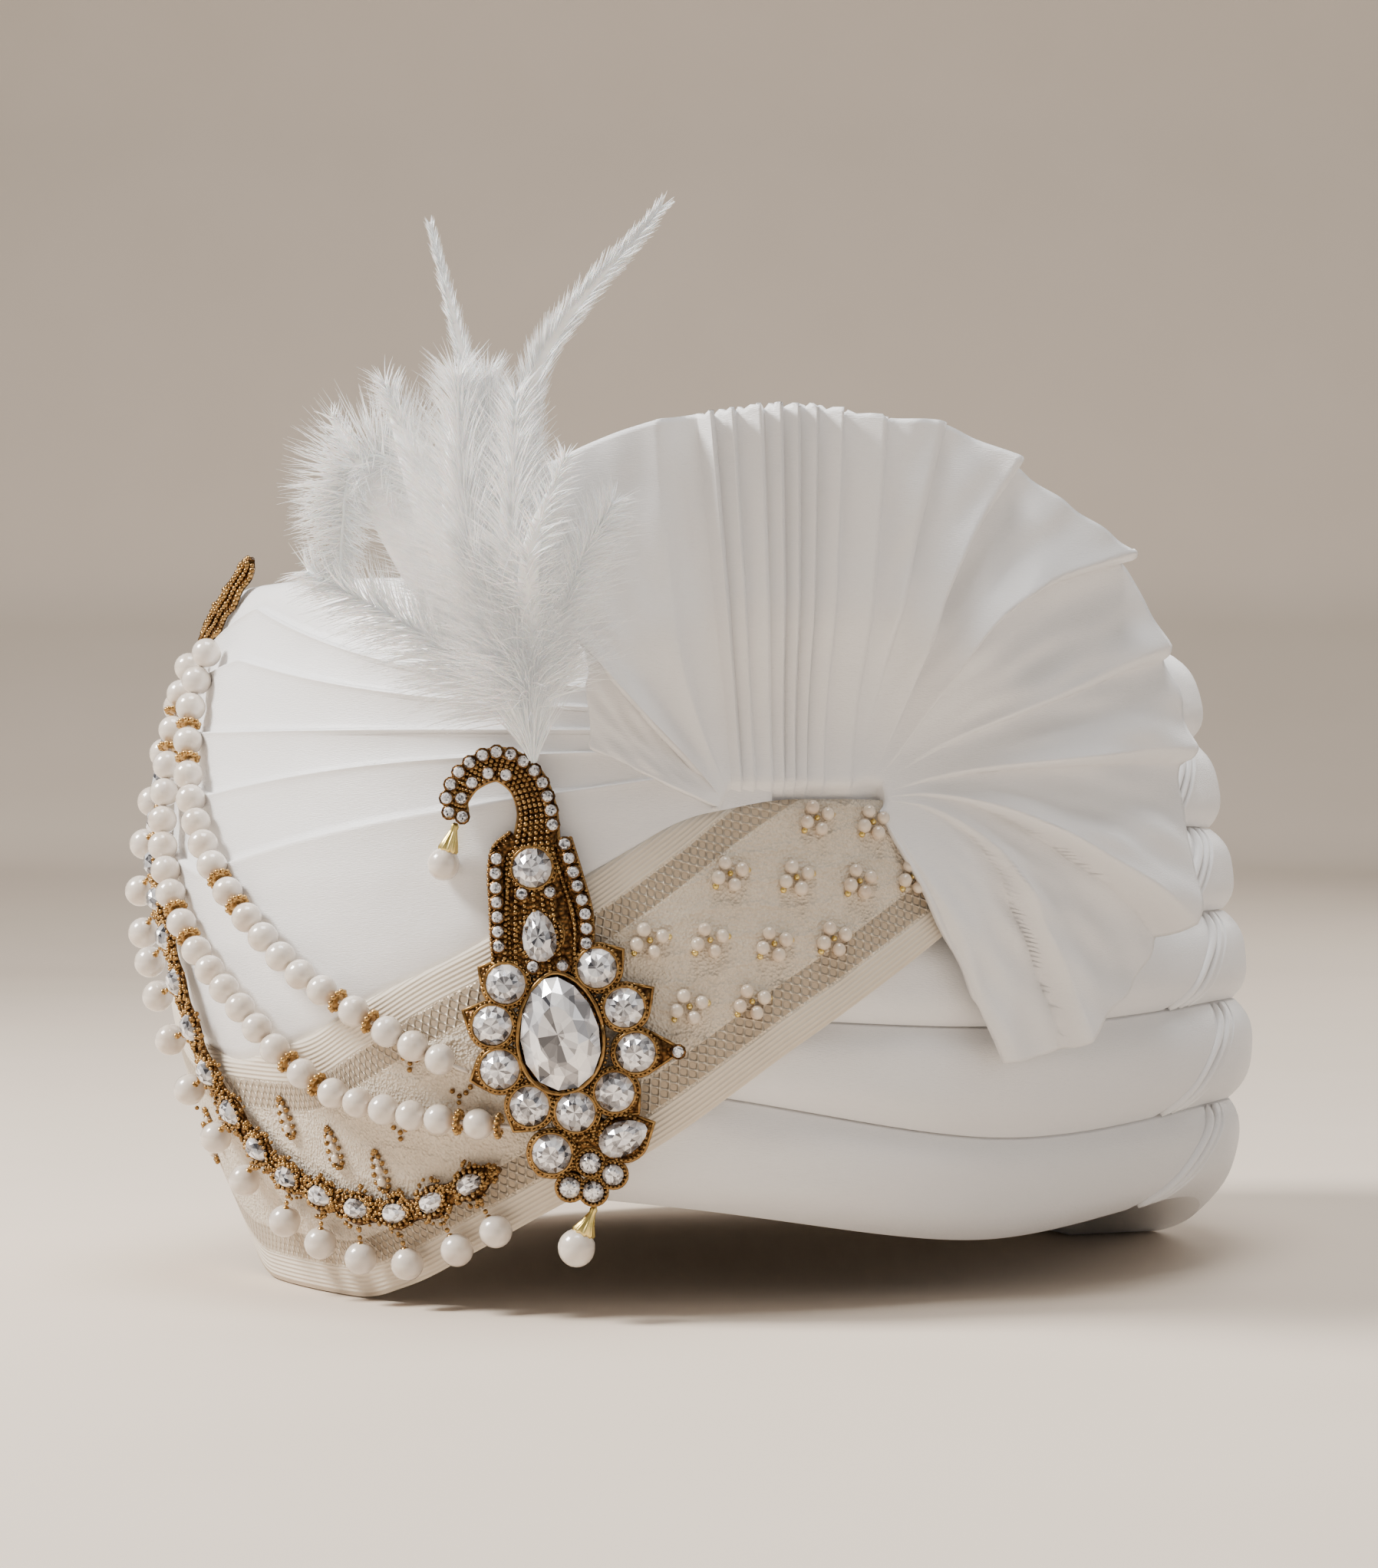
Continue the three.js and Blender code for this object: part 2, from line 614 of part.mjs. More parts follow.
function bandGeometry() {
  return loft(stationAngles(BAND[0].angle, BAND[BAND.length - 1].angle).map((angle) => {
    const heights = Array.from(
      { length: BAND_ROWS + 1 },
      (_, i) => THREE.MathUtils.lerp(bandEdge("low", angle), bandEdge("high", angle), i / BAND_ROWS),
    );
    return [
      ...heights.map((height) => onBody(angle, height, LAYER_LIFT + BAND_WALL)),
      ...heights.reverse().map((height) => onBody(angle, height, LAYER_LIFT)),
    ];
  }));
}

// Height of a pleat's folded edge: it runs back from the ridge to the temple and on to the gather.
function pleatHeight(pleat, angle) {
  const away = Math.abs(angle - PANEL_RIDGE_ANGLE);
  const { ridge, temple, gather } = PLEATS[pleat];
  const rows = [{ at: 0, up: ridge }, { at: TEMPLE_ANGLE, up: temple }, { at: GATHER_ANGLE, up: gather }];
  return blend(rows, "at", "up", away) * BODY_HEIGHT;
}

function panelSection(angle) {
  const shallow = THREE.MathUtils.smoothstep(Math.abs(angle), TEMPLE_ANGLE, GATHER_ANGLE);
  const step = PLEAT_STEP * THREE.MathUtils.lerp(1, LEAST_PLEAT, shallow);
  const base = LAYER_LIFT + PANEL_WALL;
  const bottom = bandEdge("high", angle) + ROLL_GAP;
  const top = blend(PANEL_TOP, "angle", "up", Math.abs(angle)) * BODY_HEIGHT;
  const half = (bottom + Math.max(pleatHeight(0, angle), bottom + 2 * ROLL_GAP)) / 2;
  const outer = [onBody(angle, bottom, base), onBody(angle, half, base + step / 2)];
  const inner = [onBody(angle, bottom, LAYER_LIFT), onBody(angle, half, LAYER_LIFT)];
  let floor = bottom;
  PLEATS.forEach((_, pleat) => {
    const edge = Math.max(pleatHeight(pleat, angle), floor + 2 * ROLL_GAP);
    outer.push(onBody(angle, edge, base + step), onBody(angle, edge + ROLL_GAP, base));
    inner.push(onBody(angle, edge, LAYER_LIFT));
    floor = edge + ROLL_GAP;
  });
  outer.push(onBody(angle, top, base + step / 2));
  inner.push(onBody(angle, top, LAYER_LIFT));
  return [...outer, ...inner.reverse()];
}

function panelGeometry() {
  return loft(stationAngles(PANEL_FROM, PANEL_TO).map(panelSection));
}

// Fan: a sheet that stands out of the band's upper edge. It is flat up and down, and follows the body's
// widest plan from side to side. The foot is a short gather that every fold starts from.
function fanFolds() {
  const knife = [];
  for (let i = 0; i < KNIFE_PLEATS; i += 1) {
    const from = THREE.MathUtils.lerp(KNIFE_FROM, KNIFE_TO, i / KNIFE_PLEATS);
    const width = (KNIFE_TO - KNIFE_FROM) / KNIFE_PLEATS;
    knife.push({ turn: from, reach: KNIFE_REACH, lift: KNIFE_LIFT });
    knife.push({ turn: from + KNIFE_LAP * width, reach: KNIFE_REACH, lift: 0 });
  }
  return [...FAN_TAIL_FOLDS, ...knife, ...FAN_FACE_FOLDS];
}

function fanPoint(fold, ring, lift) {
  const middle = (KNIFE_FROM + KNIFE_TO) / 2;
  const spread = THREE.MathUtils.clamp((middle - fold.turn) / (middle - KNIFE_FROM), -1, 1);
  const cosine = Math.cos(fold.turn * DEGREE);
  const sine = Math.sin(fold.turn * DEGREE);
  const reach = FAN_RADIUS * fold.reach;
  const gather = FAN_FOOT_HALF_WIDTH * spread + FAN_FOOT_BEND * cosine;
  const along = THREE.MathUtils.lerp(gather, reach * cosine, ring);
  const foot = bandEdge("high", FAN_ANGLE) + FAN_FOOT_RISE;
  const height = foot + THREE.MathUtils.lerp(FAN_FOOT_BEND * sine, reach * sine, ring);
  const angle = FAN_ANGLE + fanStretch(along) * along / HALF_WIDTH / DEGREE;
  const near = bodyRadius(angle, height);
  const widest = bodyRadius(angle, WIDEST_UP * BODY_HEIGHT);
  const stand = THREE.MathUtils.smoothstep(ring, 0, 0.5);
  const relief = FAN_RELIEF * fold.lift * THREE.MathUtils.lerp(FOOT_RELIEF, 1, ring);
  return polar(angle, THREE.MathUtils.lerp(near, widest, stand) + lift + relief, height);
}

// The plan's radius grows from the wearer's side towards the front, so less angle is turned there.
function fanStretch(along) {
  return along < 0 ? FRONT_STRETCH : 1;
}

function fanGeometry() {
  const inside = LAYER_LIFT + BAND_WALL + FAN_CLEARANCE;
  return loft(fanFolds().map((fold) => [
    ...FAN_RINGS.map((ring) => fanPoint(fold, ring, inside + FAN_WALL)),
    ...[...FAN_RINGS].reverse().map((ring) => fanPoint(fold, ring, inside)),
  ]));
}

// Brooch plane: x across to the wearer's back, y up, z out from the head.
const broochFrame = new THREE.Matrix4();
{
  const across = new THREE.Vector3(Math.cos(BROOCH_TURN * DEGREE), Math.sin(BROOCH_TURN * DEGREE), 0);
  const out = new THREE.Vector3(Math.sin(BROOCH_TURN * DEGREE), -Math.cos(BROOCH_TURN * DEGREE), 0);
  const up = new THREE.Vector3(0, 0, 1);
  const centre = onBody(BROOCH_ANGLE, BROOCH_HEIGHT).addScaledVector(out, BROOCH_LIFT);
  broochFrame.makeBasis(across, up, out).setPosition(centre);
}

const broochX = (spot) => spot.across * BROOCH_SPAN;
const broochY = (spot) => spot.up * BROOCH_RISE;

// The brooch is bent a little to the head, above and below its main stone.
function broochFall(up) {
  const share = up / (BROOCH_RISE / 2);
  return (up < 0 ? BROOCH_LOW_FALL : BROOCH_HIGH_FALL) * share * share;
}

function placeOnBrooch(geometry) {
  const position = geometry.getAttribute("position");
  for (let i = 0; i < position.count; i += 1) {
    position.setZ(i, position.getZ(i) - broochFall(position.getY(i)));
  }
  geometry.applyMatrix4(broochFrame);
  return geometry;
}

function extrudePlate(shape, segments = 4) {
  return new THREE.ExtrudeGeometry(shape, { depth: PLATE, bevelEnabled: false, curveSegments: segments });
}

// A round plate drawn out to a tip.
function petalShape(x, y, radius, tipX, tipY) {
  const toTip = Math.atan2(tipY - y, tipX - x);
  const reach = Math.hypot(tipX - x, tipY - y);
  const shoulder = Math.acos(Math.min(1, radius / reach)) * PETAL_SHOULDER;
  const shape = new THREE.Shape();
  shape.moveTo(tipX, tipY);
  shape.absarc(x, y, radius, toTip + shoulder, toTip - shoulder + 2 * Math.PI, false);
  shape.closePath();
  return shape;
}

function petalPlate(spot, radius) {
  const tipX = spot.tipAcross * BROOCH_SPAN;
  const tipY = spot.tipUp * BROOCH_RISE;
  return extrudePlate(petalShape(broochX(spot), broochY(spot), radius, tipX, tipY));
}

function stripPlate(rows) {
  const middle = rows.map((row) => new THREE.Vector2(broochX(row), broochY(row)));
  const edge = (sign) => rows.map((row, i) => {
    const before = middle[Math.max(i - 1, 0)];
    const after = middle[Math.min(i + 1, rows.length - 1)];
    const run = after.clone().sub(before).normalize();
    const half = sign * row.width * BROOCH_SPAN / 2;
    return new THREE.Vector2(middle[i].x - run.y * half, middle[i].y + run.x * half);
  });
  return extrudePlate(new THREE.Shape([...edge(1), ...edge(-1).reverse()]));
}

// Outline of a drop-shaped stone, its tip up.
function dropOutline(width, length, corners) {
  return Array.from({ length: corners }, (_, i) => {
    const turn = (2 * Math.PI * i) / corners + Math.PI / 2;
    const narrow = 1 - DROP_NARROWING * (1 + Math.sin(turn)) / 2;
    return new THREE.Vector2(Math.cos(turn) * narrow * width / 2, Math.sin(turn) * length / 2);
  });
}

function broochFrameGeometry() {
  const bedOutline = dropOutline(MAIN_STONE_WIDTH + 2 * BEZEL, MAIN_STONE_LENGTH + 2 * BEZEL, MAIN_CORNERS);
  const petalRadius = RING_STONE / 2 + BEZEL;
  const discPlate = (spot, radius) => extrudePlate(
    new THREE.Shape().absarc(broochX(spot), broochY(spot), radius, 0, 2 * Math.PI, false),
  );
  const plates = [
    extrudePlate(new THREE.Shape(bedOutline)),
    ...RING_PETALS.map((spot) => petalPlate(spot, petalRadius)),
    petalPlate(NECK_DROP, petalRadius),
    petalPlate(NECK_ROUND, petalRadius),
    petalPlate(LOWER_ROUND, petalRadius),
    petalPlate(LOWER_DROP, petalRadius),
    ...CLUSTER.map((spot) => discPlate(spot, SMALL_STONE / 2 + BEZEL)),
    discPlate(LOWER_WEB, LOWER_WEB.size * BROOCH_SPAN / 2),
    stripPlate(HOOK),
    stripPlate(LEFT_ARM),
    stripPlate(RIGHT_ARM),
  ];
  return placeOnBrooch(fuse(plates));
}

// A cut stone: its facets rise from the girdle to the table.
function cutStone(outline, height, x, y, seat) {
  const rings = [{ scale: 1, up: 0 }, { scale: TABLE_SHARE, up: 1 }];
  return loft(rings.map(({ scale, up }) => outline.map(
    (corner) => new THREE.Vector3(x + corner.x * scale, y + corner.y * scale, seat + height * up),
  )));
}

function roundOutline(diameter, corners) {
  return Array.from({ length: corners }, (_, i) => {
    const turn = (2 * Math.PI * (i + 0.5)) / corners;
    return new THREE.Vector2(Math.cos(turn), Math.sin(turn)).multiplyScalar(diameter / 2);
  });
}

function turnedOutline(outline, spot) {
  const dx = (spot.tipAcross - spot.across) * BROOCH_SPAN;
  const dy = (spot.tipUp - spot.up) * BROOCH_RISE;
  const turn = Math.atan2(dy, dx) - Math.PI / 2;
  return outline.map((corner) => corner.clone().rotateAround(new THREE.Vector2(), turn));
}

function broochStones() {
  const seat = PLATE + STONE_SEAT_GAP;
  const set = (outline, height, spot) => placeOnBrooch(
    cutStone(outline, height, broochX(spot), broochY(spot), seat),
  );
  const round = (spot, size) => {
    const height = STONE_HEIGHT * size / RING_STONE;
    return set(roundOutline(size, ROUND_CORNERS), height, spot);
  };
  const drop = (spot) => {
    const outline = dropOutline(RING_STONE, DROP_STONE_LENGTH, DROP_CORNERS);
    return set(turnedOutline(outline, spot), STONE_HEIGHT, spot);
  };
  const mainOutline = dropOutline(MAIN_STONE_WIDTH, MAIN_STONE_LENGTH, MAIN_CORNERS);
  const main = set(mainOutline, MAIN_STONE_HEIGHT, { across: 0, up: 0 });
  return {
    main,
    others: [
      ...RING_PETALS.map((spot) => round(spot, RING_STONE)),
      drop(NECK_DROP),
      round(NECK_ROUND, RING_STONE),
      round(LOWER_ROUND, RING_STONE),
      drop(LOWER_DROP),
      ...CLUSTER.map((spot) => round(spot, SMALL_STONE)),
    ],
  };
}

// How far in front of the brooch's plane a pearl has to hang to lie on the cloth.
function restingOut(spot, pearl) {
  const down = DROP_LENGTH * DROP_BELLY;
  const flat = new THREE.Vector3(
    broochX(spot) + down * Math.sin(spot.lean * DEGREE),
    broochY(spot) - down * Math.cos(spot.lean * DEGREE),
    0,
  ).applyMatrix4(broochFrame);
  const angle = Math.atan2(flat.x, -flat.y) / DEGREE;
  const away = bodyRadius(angle, flat.z) + LAYER_LIFT + PANEL_WALL + pearl / 2 + GAP
    - Math.hypot(flat.x, flat.y);
  return away / Math.cos((angle - BROOCH_TURN) * DEGREE);
}

// A pearl drop with its cap and loop in one turned form, hung from the brooch.
function dropGeometry(spot, pearl, out) {
  const profile = DROP_PROFILE.map(
    ({ out, down }) => new THREE.Vector2(out * pearl / 2, -down * DROP_LENGTH),
  ).reverse();
  const turned = stripToPosition(new THREE.LatheGeometry(profile, BEAD_CORNERS));
  const lathe = mergeVertices(turned, WELD);
  lathe.rotateZ(spot.lean * DEGREE);
  lathe.translate(broochX(spot), broochY(spot), out);
  lathe.applyMatrix4(broochFrame);
  return withoutSlivers(lathe);
}

function stripToPosition(geometry) {
  geometry.deleteAttribute("normal");
  geometry.deleteAttribute("uv");
  return geometry;
}

// Drops the empty triangles at a lathe's two poles.
function withoutSlivers(geometry) {
  const kept = [];
  const index = geometry.index.array;
  for (let i = 0; i < index.length; i += 3) {
    const [a, b, c] = [index[i], index[i + 1], index[i + 2]];
    if (a !== b && b !== c && c !== a) {
      kept.push(a, b, c);
    }
  }
  return solidFrom(Array.from(geometry.getAttribute("position").array), kept);
}

// A route on the cloth: points in angle and height, a given lift above the body.
function clothRoute(points, lift) {
  const flat = points.map(([angle, up]) => new THREE.Vector3(angle, up, 0));
  const curve = new THREE.CatmullRomCurve3(flat, false, "centripetal");
  const samples = curve.getPoints(points.length * ROUTE_STEPS).map(
    (spot) => ({ point: onBody(spot.x, spot.y * BODY_HEIGHT, lift), angle: spot.x }),
  );
  let run = 0;
  const marks = samples.map((sample, i) => {
    run += i > 0 ? sample.point.distanceTo(samples[i - 1].point) : 0;
    return run;
  });
  const at = (distance) => {
    let i = 0;
    while (i < marks.length - 2 && marks[i + 1] < distance) {
      i += 1;
    }
    const t = (distance - marks[i]) / (marks[i + 1] - marks[i]);
    const point = samples[i].point.clone().lerp(samples[i + 1].point, t);
    const tangent = samples[Math.min(i + 2, marks.length - 1)].point.clone()
      .sub(samples[Math.max(i - 1, 0)].point).normalize();
    const angle = THREE.MathUtils.lerp(samples[i].angle, samples[i + 1].angle, t);
    const away = new THREE.Vector3(Math.sin(angle * DEGREE), -Math.cos(angle * DEGREE), 0);
    const side = new THREE.Vector3().crossVectors(away, tangent).normalize();
    const out = new THREE.Vector3().crossVectors(tangent, side).normalize();
    return { point, tangent, side, out };
  };
  return { length: run, at };
}

function ringAround({ point, side, out }, radius, corners) {
  return Array.from({ length: corners }, (_, i) => {
    const turn = (2 * Math.PI * i) / corners;
    return point.clone()
      .addScaledVector(side, Math.cos(turn) * radius)
      .addScaledVector(out, Math.sin(turn) * radius);
  });
}

// A string of beads as one body whose thickness swells at each pearl and each gold ring.
function strandGeometry(points, pattern, settle) {
  const lift = LAYER_LIFT + PANEL_WALL + PLEAT_STEP + GAP + PEARL / 2 - settle;
  const route = clothRoute(points, lift);
  const beads = [];
  let used = 0;
  for (let i = 0; used < route.length; i += 1) {
    const pearl = pattern[i % pattern.length] === "P";
    const width = pearl ? PEARL : SPACER_WIDTH;
    beads.push({ from: used, width, size: pearl ? PEARL : SPACER });
    used += width;
  }
  if (used > route.length) {
    beads.pop();
  }
  const sections = [ringAround(route.at(0), THREAD / 2, BEAD_CORNERS)];
  beads.forEach(({ from, width, size }) => {
    const belly = size === PEARL ? PEARL_BELLY : RING_BELLY;
    belly.forEach((share) => {
      sections.push(ringAround(route.at(from + width * share), size / 2 * BELLY_SIZE, BEAD_CORNERS));
    });
    sections.push(ringAround(route.at(from + width), THREAD / 2, BEAD_CORNERS));
  });
  return loft(sections);
}

function sphereAt(point, diameter) {
  const ball = stripToPosition(new THREE.SphereGeometry(diameter / 2, BEAD_CORNERS, 3));
  ball.rotateX(Math.PI / 2);
  const merged = withoutSlivers(mergeVertices(ball, WELD));
  merged.translate(point.x, point.y, point.z);
  return merged;
}

function barBetween(from, to, thickness) {
  const run = to.clone().sub(from);
  const aside = new THREE.Vector3(0, 0, 1).cross(run).normalize();
  const over = run.clone().normalize().cross(aside);
  const section = (point) => LINK_SECTION.map(([a, b]) => point.clone()
    .addScaledVector(aside, a * thickness / 2)
    .addScaledVector(over, b * thickness / 2));
  return loft([section(from), section(to)]);
}

// Garland: a ribbon of filigree that carries set stones, with a pearl hung from each.
function garlandGeometry() {
  const base = LAYER_LIFT + Math.max(BAND_WALL, PANEL_WALL + PLEAT_STEP) + 3 * GAP;
  const route = clothRoute(ROUTES.garland, base);
  const count = Math.floor(route.length / GARLAND_PITCH);
  const margin = (route.length - (count - 1) * GARLAND_PITCH) / 2;
  const ribbon = [];
  for (let i = 0; i <= count; i += 1) {
    const { point, side, out } = route.at((route.length * i) / count);
    const half = GARLAND_WIDTH / 2;
    ribbon.push([[-half, 0], [half, 0], [half, GARLAND_WALL], [-half, GARLAND_WALL]].map(
      ([across, up]) => point.clone().addScaledVector(side, across).addScaledVector(out, up),
    ));
  }
  const pieces = [loft(ribbon)];
  for (let i = 0; i < count; i += 1) {
    const seat = route.at(margin + i * GARLAND_PITCH);
    const rings = [
      { scale: 1, up: GARLAND_WALL / 2 },
      { scale: TABLE_SHARE, up: GARLAND_WALL + GARLAND_STONE_HEIGHT },
    ];
    pieces.push(loft(rings.map(({ scale, up }) => ringAround(
      { point: seat.point.clone().addScaledVector(seat.out, up), side: seat.side, out: seat.tangent },
      (GARLAND_STONE / 2) * scale, ROUND_CORNERS,
    ))));
    const hang = hangPoint(seat, base);
    const start = seat.point.clone().addScaledVector(seat.out, GARLAND_WALL / 2);
    pieces.push(barBetween(start, hang, LINK));
    pieces.push(sphereAt(hang, DROP_PEARL));
  }
  return fuse(pieces);
}

// Centre of a garland pearl: beside the garland, towards its lower side, lying on the cloth.
function hangPoint(seat, base) {
  const downward = seat.side.clone().multiplyScalar(seat.side.z > 0 ? -1 : 1);
  const sideways = seat.tangent.clone().cross(seat.out).normalize();
  const lowSide = Math.abs(sideways.z) > LEVEL_SLOPE ? downward : sideways;
  const spot = seat.point.clone().addScaledVector(lowSide, DROP_REACH);
  const angle = Math.atan2(spot.x, -spot.y) / DEGREE;
  const height = Math.max(spot.z, DROP_PEARL / 2 + GAP);
  return onBody(angle, height, base + DROP_PEARL / 2);
}

function connectorGeometry() {
  const base = LAYER_LIFT + PANEL_WALL + PLEAT_STEP + 2 * GAP;
  const route = clothRoute(ROUTES.connector, base);
  const sections = [];
  for (let i = 0; i <= CONNECTOR_STEPS; i += 1) {
    const { point, side, out } = route.at((route.length * i) / CONNECTOR_STEPS);
    const ridge = i % 2 === 0 ? 1 : CONNECTOR_WAIST;
    sections.push(CONNECTOR_SECTION.map(([across, up]) => point.clone()
      .addScaledVector(side, across * ridge * CONNECTOR_WIDTH)
      .addScaledVector(out, up * ridge * CONNECTOR_WALL)));
  }
  return loft(sections);
}

// Plume: feather locks that grow out of one root, in the brooch's plane.
function plumeGeometry() {
  const root = new THREE.Vector3(broochX(PLUME_BASE), broochY(PLUME_BASE), PLUME_SEAT);
  const reach = (across, up, out) => new THREE.Vector3(across, up, out).multiplyScalar(PLUME_RISE).add(root);
  const locks = LOCKS.map((lock) => {
    const curve = new THREE.CatmullRomCurve3([
      root,
      reach(lock.midAcross / 2, lock.midUp / 2, lock.out / 2),
      reach(lock.midAcross, lock.midUp, lock.out),
      reach(lock.endAcross, lock.endUp, lock.out * LOCK_LEAN),
    ]);
    const sections = [];
    for (let i = 0; i <= LOCK_STEPS; i += 1) {
      const t = i / LOCK_STEPS;
      const tangent = curve.getTangent(t);
      const across = new THREE.Vector3(tangent.y, -tangent.x, 0).normalize();
      const over = tangent.clone().cross(across).normalize();
      const swell = Math.sin(Math.PI * THREE.MathUtils.lerp(LOCK_SWELL_FROM, LOCK_SWELL_TO, t));
      const half = Math.max(lock.width * PLUME_RISE / 2 * swell, LOCK_TIP);
      sections.push(Array.from({ length: LOCK_CORNERS }, (_, k) => {
        const turn = (2 * Math.PI * k) / LOCK_CORNERS;
        return curve.getPoint(t)
          .addScaledVector(across, Math.cos(turn) * half)
          .addScaledVector(over, Math.sin(turn) * half * LOCK_FLATNESS);
      }));
    }
    return loft(sections);
  });
  const ball = sphereAt(root, PLUME_ROOT);
  const plume = fuse([ball, ...locks]);
  plume.applyMatrix4(broochFrame);
  return plume;
}

function piece(name, geometry, material) {
  const mesh = new THREE.Mesh(geometry, material);
  mesh.name = name;
  return mesh;
}

const turban = new THREE.Group();
turban.add(piece("crown", capGeometry(), materials.cap));
for (let tier = 0; tier < LINES.length - 1; tier += 1) {
  turban.add(piece(`left_roll_${tier + 1}`, sideRollGeometry(tier, 1), materials.satin));
  turban.add(piece(`right_roll_${tier + 1}`, sideRollGeometry(tier, -1), materials.satin));
  turban.add(piece(`back_roll_${tier + 1}`, backRollGeometry(tier), materials.satin));
}
turban.add(piece("front_pleats", panelGeometry(), materials.satin));
turban.add(piece("lace_band", bandGeometry(), materials.lace));
turban.add(piece("fan", fanGeometry(), materials.satin));
turban.add(piece("brooch_frame", broochFrameGeometry(), materials.gold));
const stones = broochStones();
turban.add(piece("brooch_main_stone", stones.main, materials.stone));
stones.others.forEach((stone, i) => {
  turban.add(piece(`brooch_stone_${i + 1}`, stone, materials.stone));
});
const hookOut = restingOut(HOOK_DROP, PEARL);
const lowerOut = LOWER_DROP_OUT - broochFall(broochY(LOWER_HANG));
turban.add(piece("brooch_hook_drop", dropGeometry(HOOK_DROP, PEARL, hookOut), materials.pearl));
turban.add(piece("brooch_lower_drop", dropGeometry(LOWER_HANG, LOWER_PEARL, lowerOut), materials.pearl));
turban.add(piece("plume", plumeGeometry(), materials.feather));
const upperStrand = strandGeometry(ROUTES.upper, UPPER_PATTERN, UPPER_SETTLE);
const lowerStrand = strandGeometry(ROUTES.lower, LOWER_PATTERN, LOWER_SETTLE);
turban.add(piece("pearl_strand_upper", upperStrand, materials.pearl));
turban.add(piece("pearl_strand_lower", lowerStrand, materials.pearl));
turban.add(piece("stone_garland", garlandGeometry(), materials.gold));
turban.add(piece("strand_connector", connectorGeometry(), materials.gold));

// The origin is under the middle of the whole turban, on the ground.
const box = new THREE.Box3().setFromObject(turban);
turban.position.set(-(box.min.x + box.max.x) / 2, -(box.min.y + box.max.y) / 2, -box.min.z);

export default turban;
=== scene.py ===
# %% [markdown]
# # A tied turban of ivory satin
# This lesson dresses a plain solid model of a groom's turban: wound satin rolls, a pleated front, a
# lace band, a pleated fan, a jewelled brooch with a plume, pearl strings and a garland of stones.
# The solid model is loaded first as a fixed frame, and every new piece sits where its solid does.

# %% Load the frame
import math

import bpy
import numpy as np
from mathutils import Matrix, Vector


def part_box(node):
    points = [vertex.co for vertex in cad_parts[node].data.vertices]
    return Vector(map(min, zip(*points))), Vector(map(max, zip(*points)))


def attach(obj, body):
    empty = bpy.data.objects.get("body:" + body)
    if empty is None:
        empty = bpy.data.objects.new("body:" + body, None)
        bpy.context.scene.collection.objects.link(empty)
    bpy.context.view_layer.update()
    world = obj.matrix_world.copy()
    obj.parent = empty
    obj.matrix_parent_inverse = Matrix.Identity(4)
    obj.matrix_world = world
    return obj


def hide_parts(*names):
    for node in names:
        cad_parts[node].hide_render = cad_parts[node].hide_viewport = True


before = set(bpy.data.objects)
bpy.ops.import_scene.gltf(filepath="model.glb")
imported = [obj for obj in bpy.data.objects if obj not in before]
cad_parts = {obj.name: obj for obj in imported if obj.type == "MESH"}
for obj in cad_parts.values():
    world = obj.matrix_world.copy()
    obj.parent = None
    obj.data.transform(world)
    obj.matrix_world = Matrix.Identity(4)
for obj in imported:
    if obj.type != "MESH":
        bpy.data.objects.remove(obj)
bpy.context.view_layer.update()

# %% [markdown]
# Shapes are worked out in millimetres about the turban's own upright axis, which is the middle of the
# cap. One function then moves them to the frame and turns them into metres.

# %% The turban's axis
cap_low, cap_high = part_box("crown")
AXIS = np.array([(cap_low.x + cap_high.x) * 500, (cap_low.y + cap_high.y) * 500, 0.0])


def to_frame(points):
    """Millimetres about the turban's axis become metres in the frame: add the axis, divide by 1000."""
    return (np.asarray(points, float) + AXIS) / 1000


print("axis, mm", AXIS.round(2))

# %% [markdown]
# The camera comes first, because every later choice is judged through it. A level camera a metre away
# looks at the wearer's left front, with a long lens so that near and far parts keep their proportion.

# %% Camera
VIEW_TURN = math.radians(55)
VIEW_DISTANCE = 1032
VIEW_HEIGHT = 126
AIM_TURN = math.radians(0.62)
LENS = 88

camera = bpy.data.objects.new("camera", bpy.data.cameras.new("camera"))
bpy.context.scene.collection.objects.link(camera)
bpy.context.scene.camera = camera
camera.data.lens = LENS
camera.data.sensor_width = 36
camera.data.clip_start = 0.05
camera.data.clip_end = 50
eye = to_frame([VIEW_DISTANCE * math.sin(VIEW_TURN), -VIEW_DISTANCE * math.cos(VIEW_TURN), VIEW_HEIGHT])
camera.location = eye
camera.rotation_euler = (math.pi / 2, 0, VIEW_TURN + AIM_TURN)
print("camera at", eye.round(3))

# %% [markdown]
# The wound body is one smooth envelope. Three short tables of numbers describe it: how far it reaches
# forward, sideways and back at each height. Between the rows a smooth cubic joins them, and the plan
# at each height is a rounded oval, a superellipse.

# %% Smooth tables
FRONT_REACH, BACK_REACH, HALF_WIDTH, BODY_HEIGHT, PLAN_POWER = 151, 147, 120, 165, 2.15
GIRTH = np.array([
    [0, 0.825, 0.88, 0.93], [0.06, 0.84, 0.905, 0.95], [0.18, 0.895, 0.96, 0.985],
    [0.36, 0.965, 1, 1], [0.55, 1, 0.985, 0.975], [0.72, 0.99, 0.945, 0.945],
    [0.88, 0.955, 0.9, 0.905], [1, 0.91, 0.85, 0.87], [1.1, 0.86, 0.8, 0.83],
])


def cubic(t, start, end, leave, arrive):
    """Cubic from start to end as t goes from 0 to 1, leaving and arriving with those slopes."""
    t2, t3 = t * t, t * t * t
    return ((2 * t3 - 3 * t2 + 1) * start + (t3 - 2 * t2 + t) * leave
            + (3 * t2 - 2 * t3) * end + (t3 - t2) * arrive)


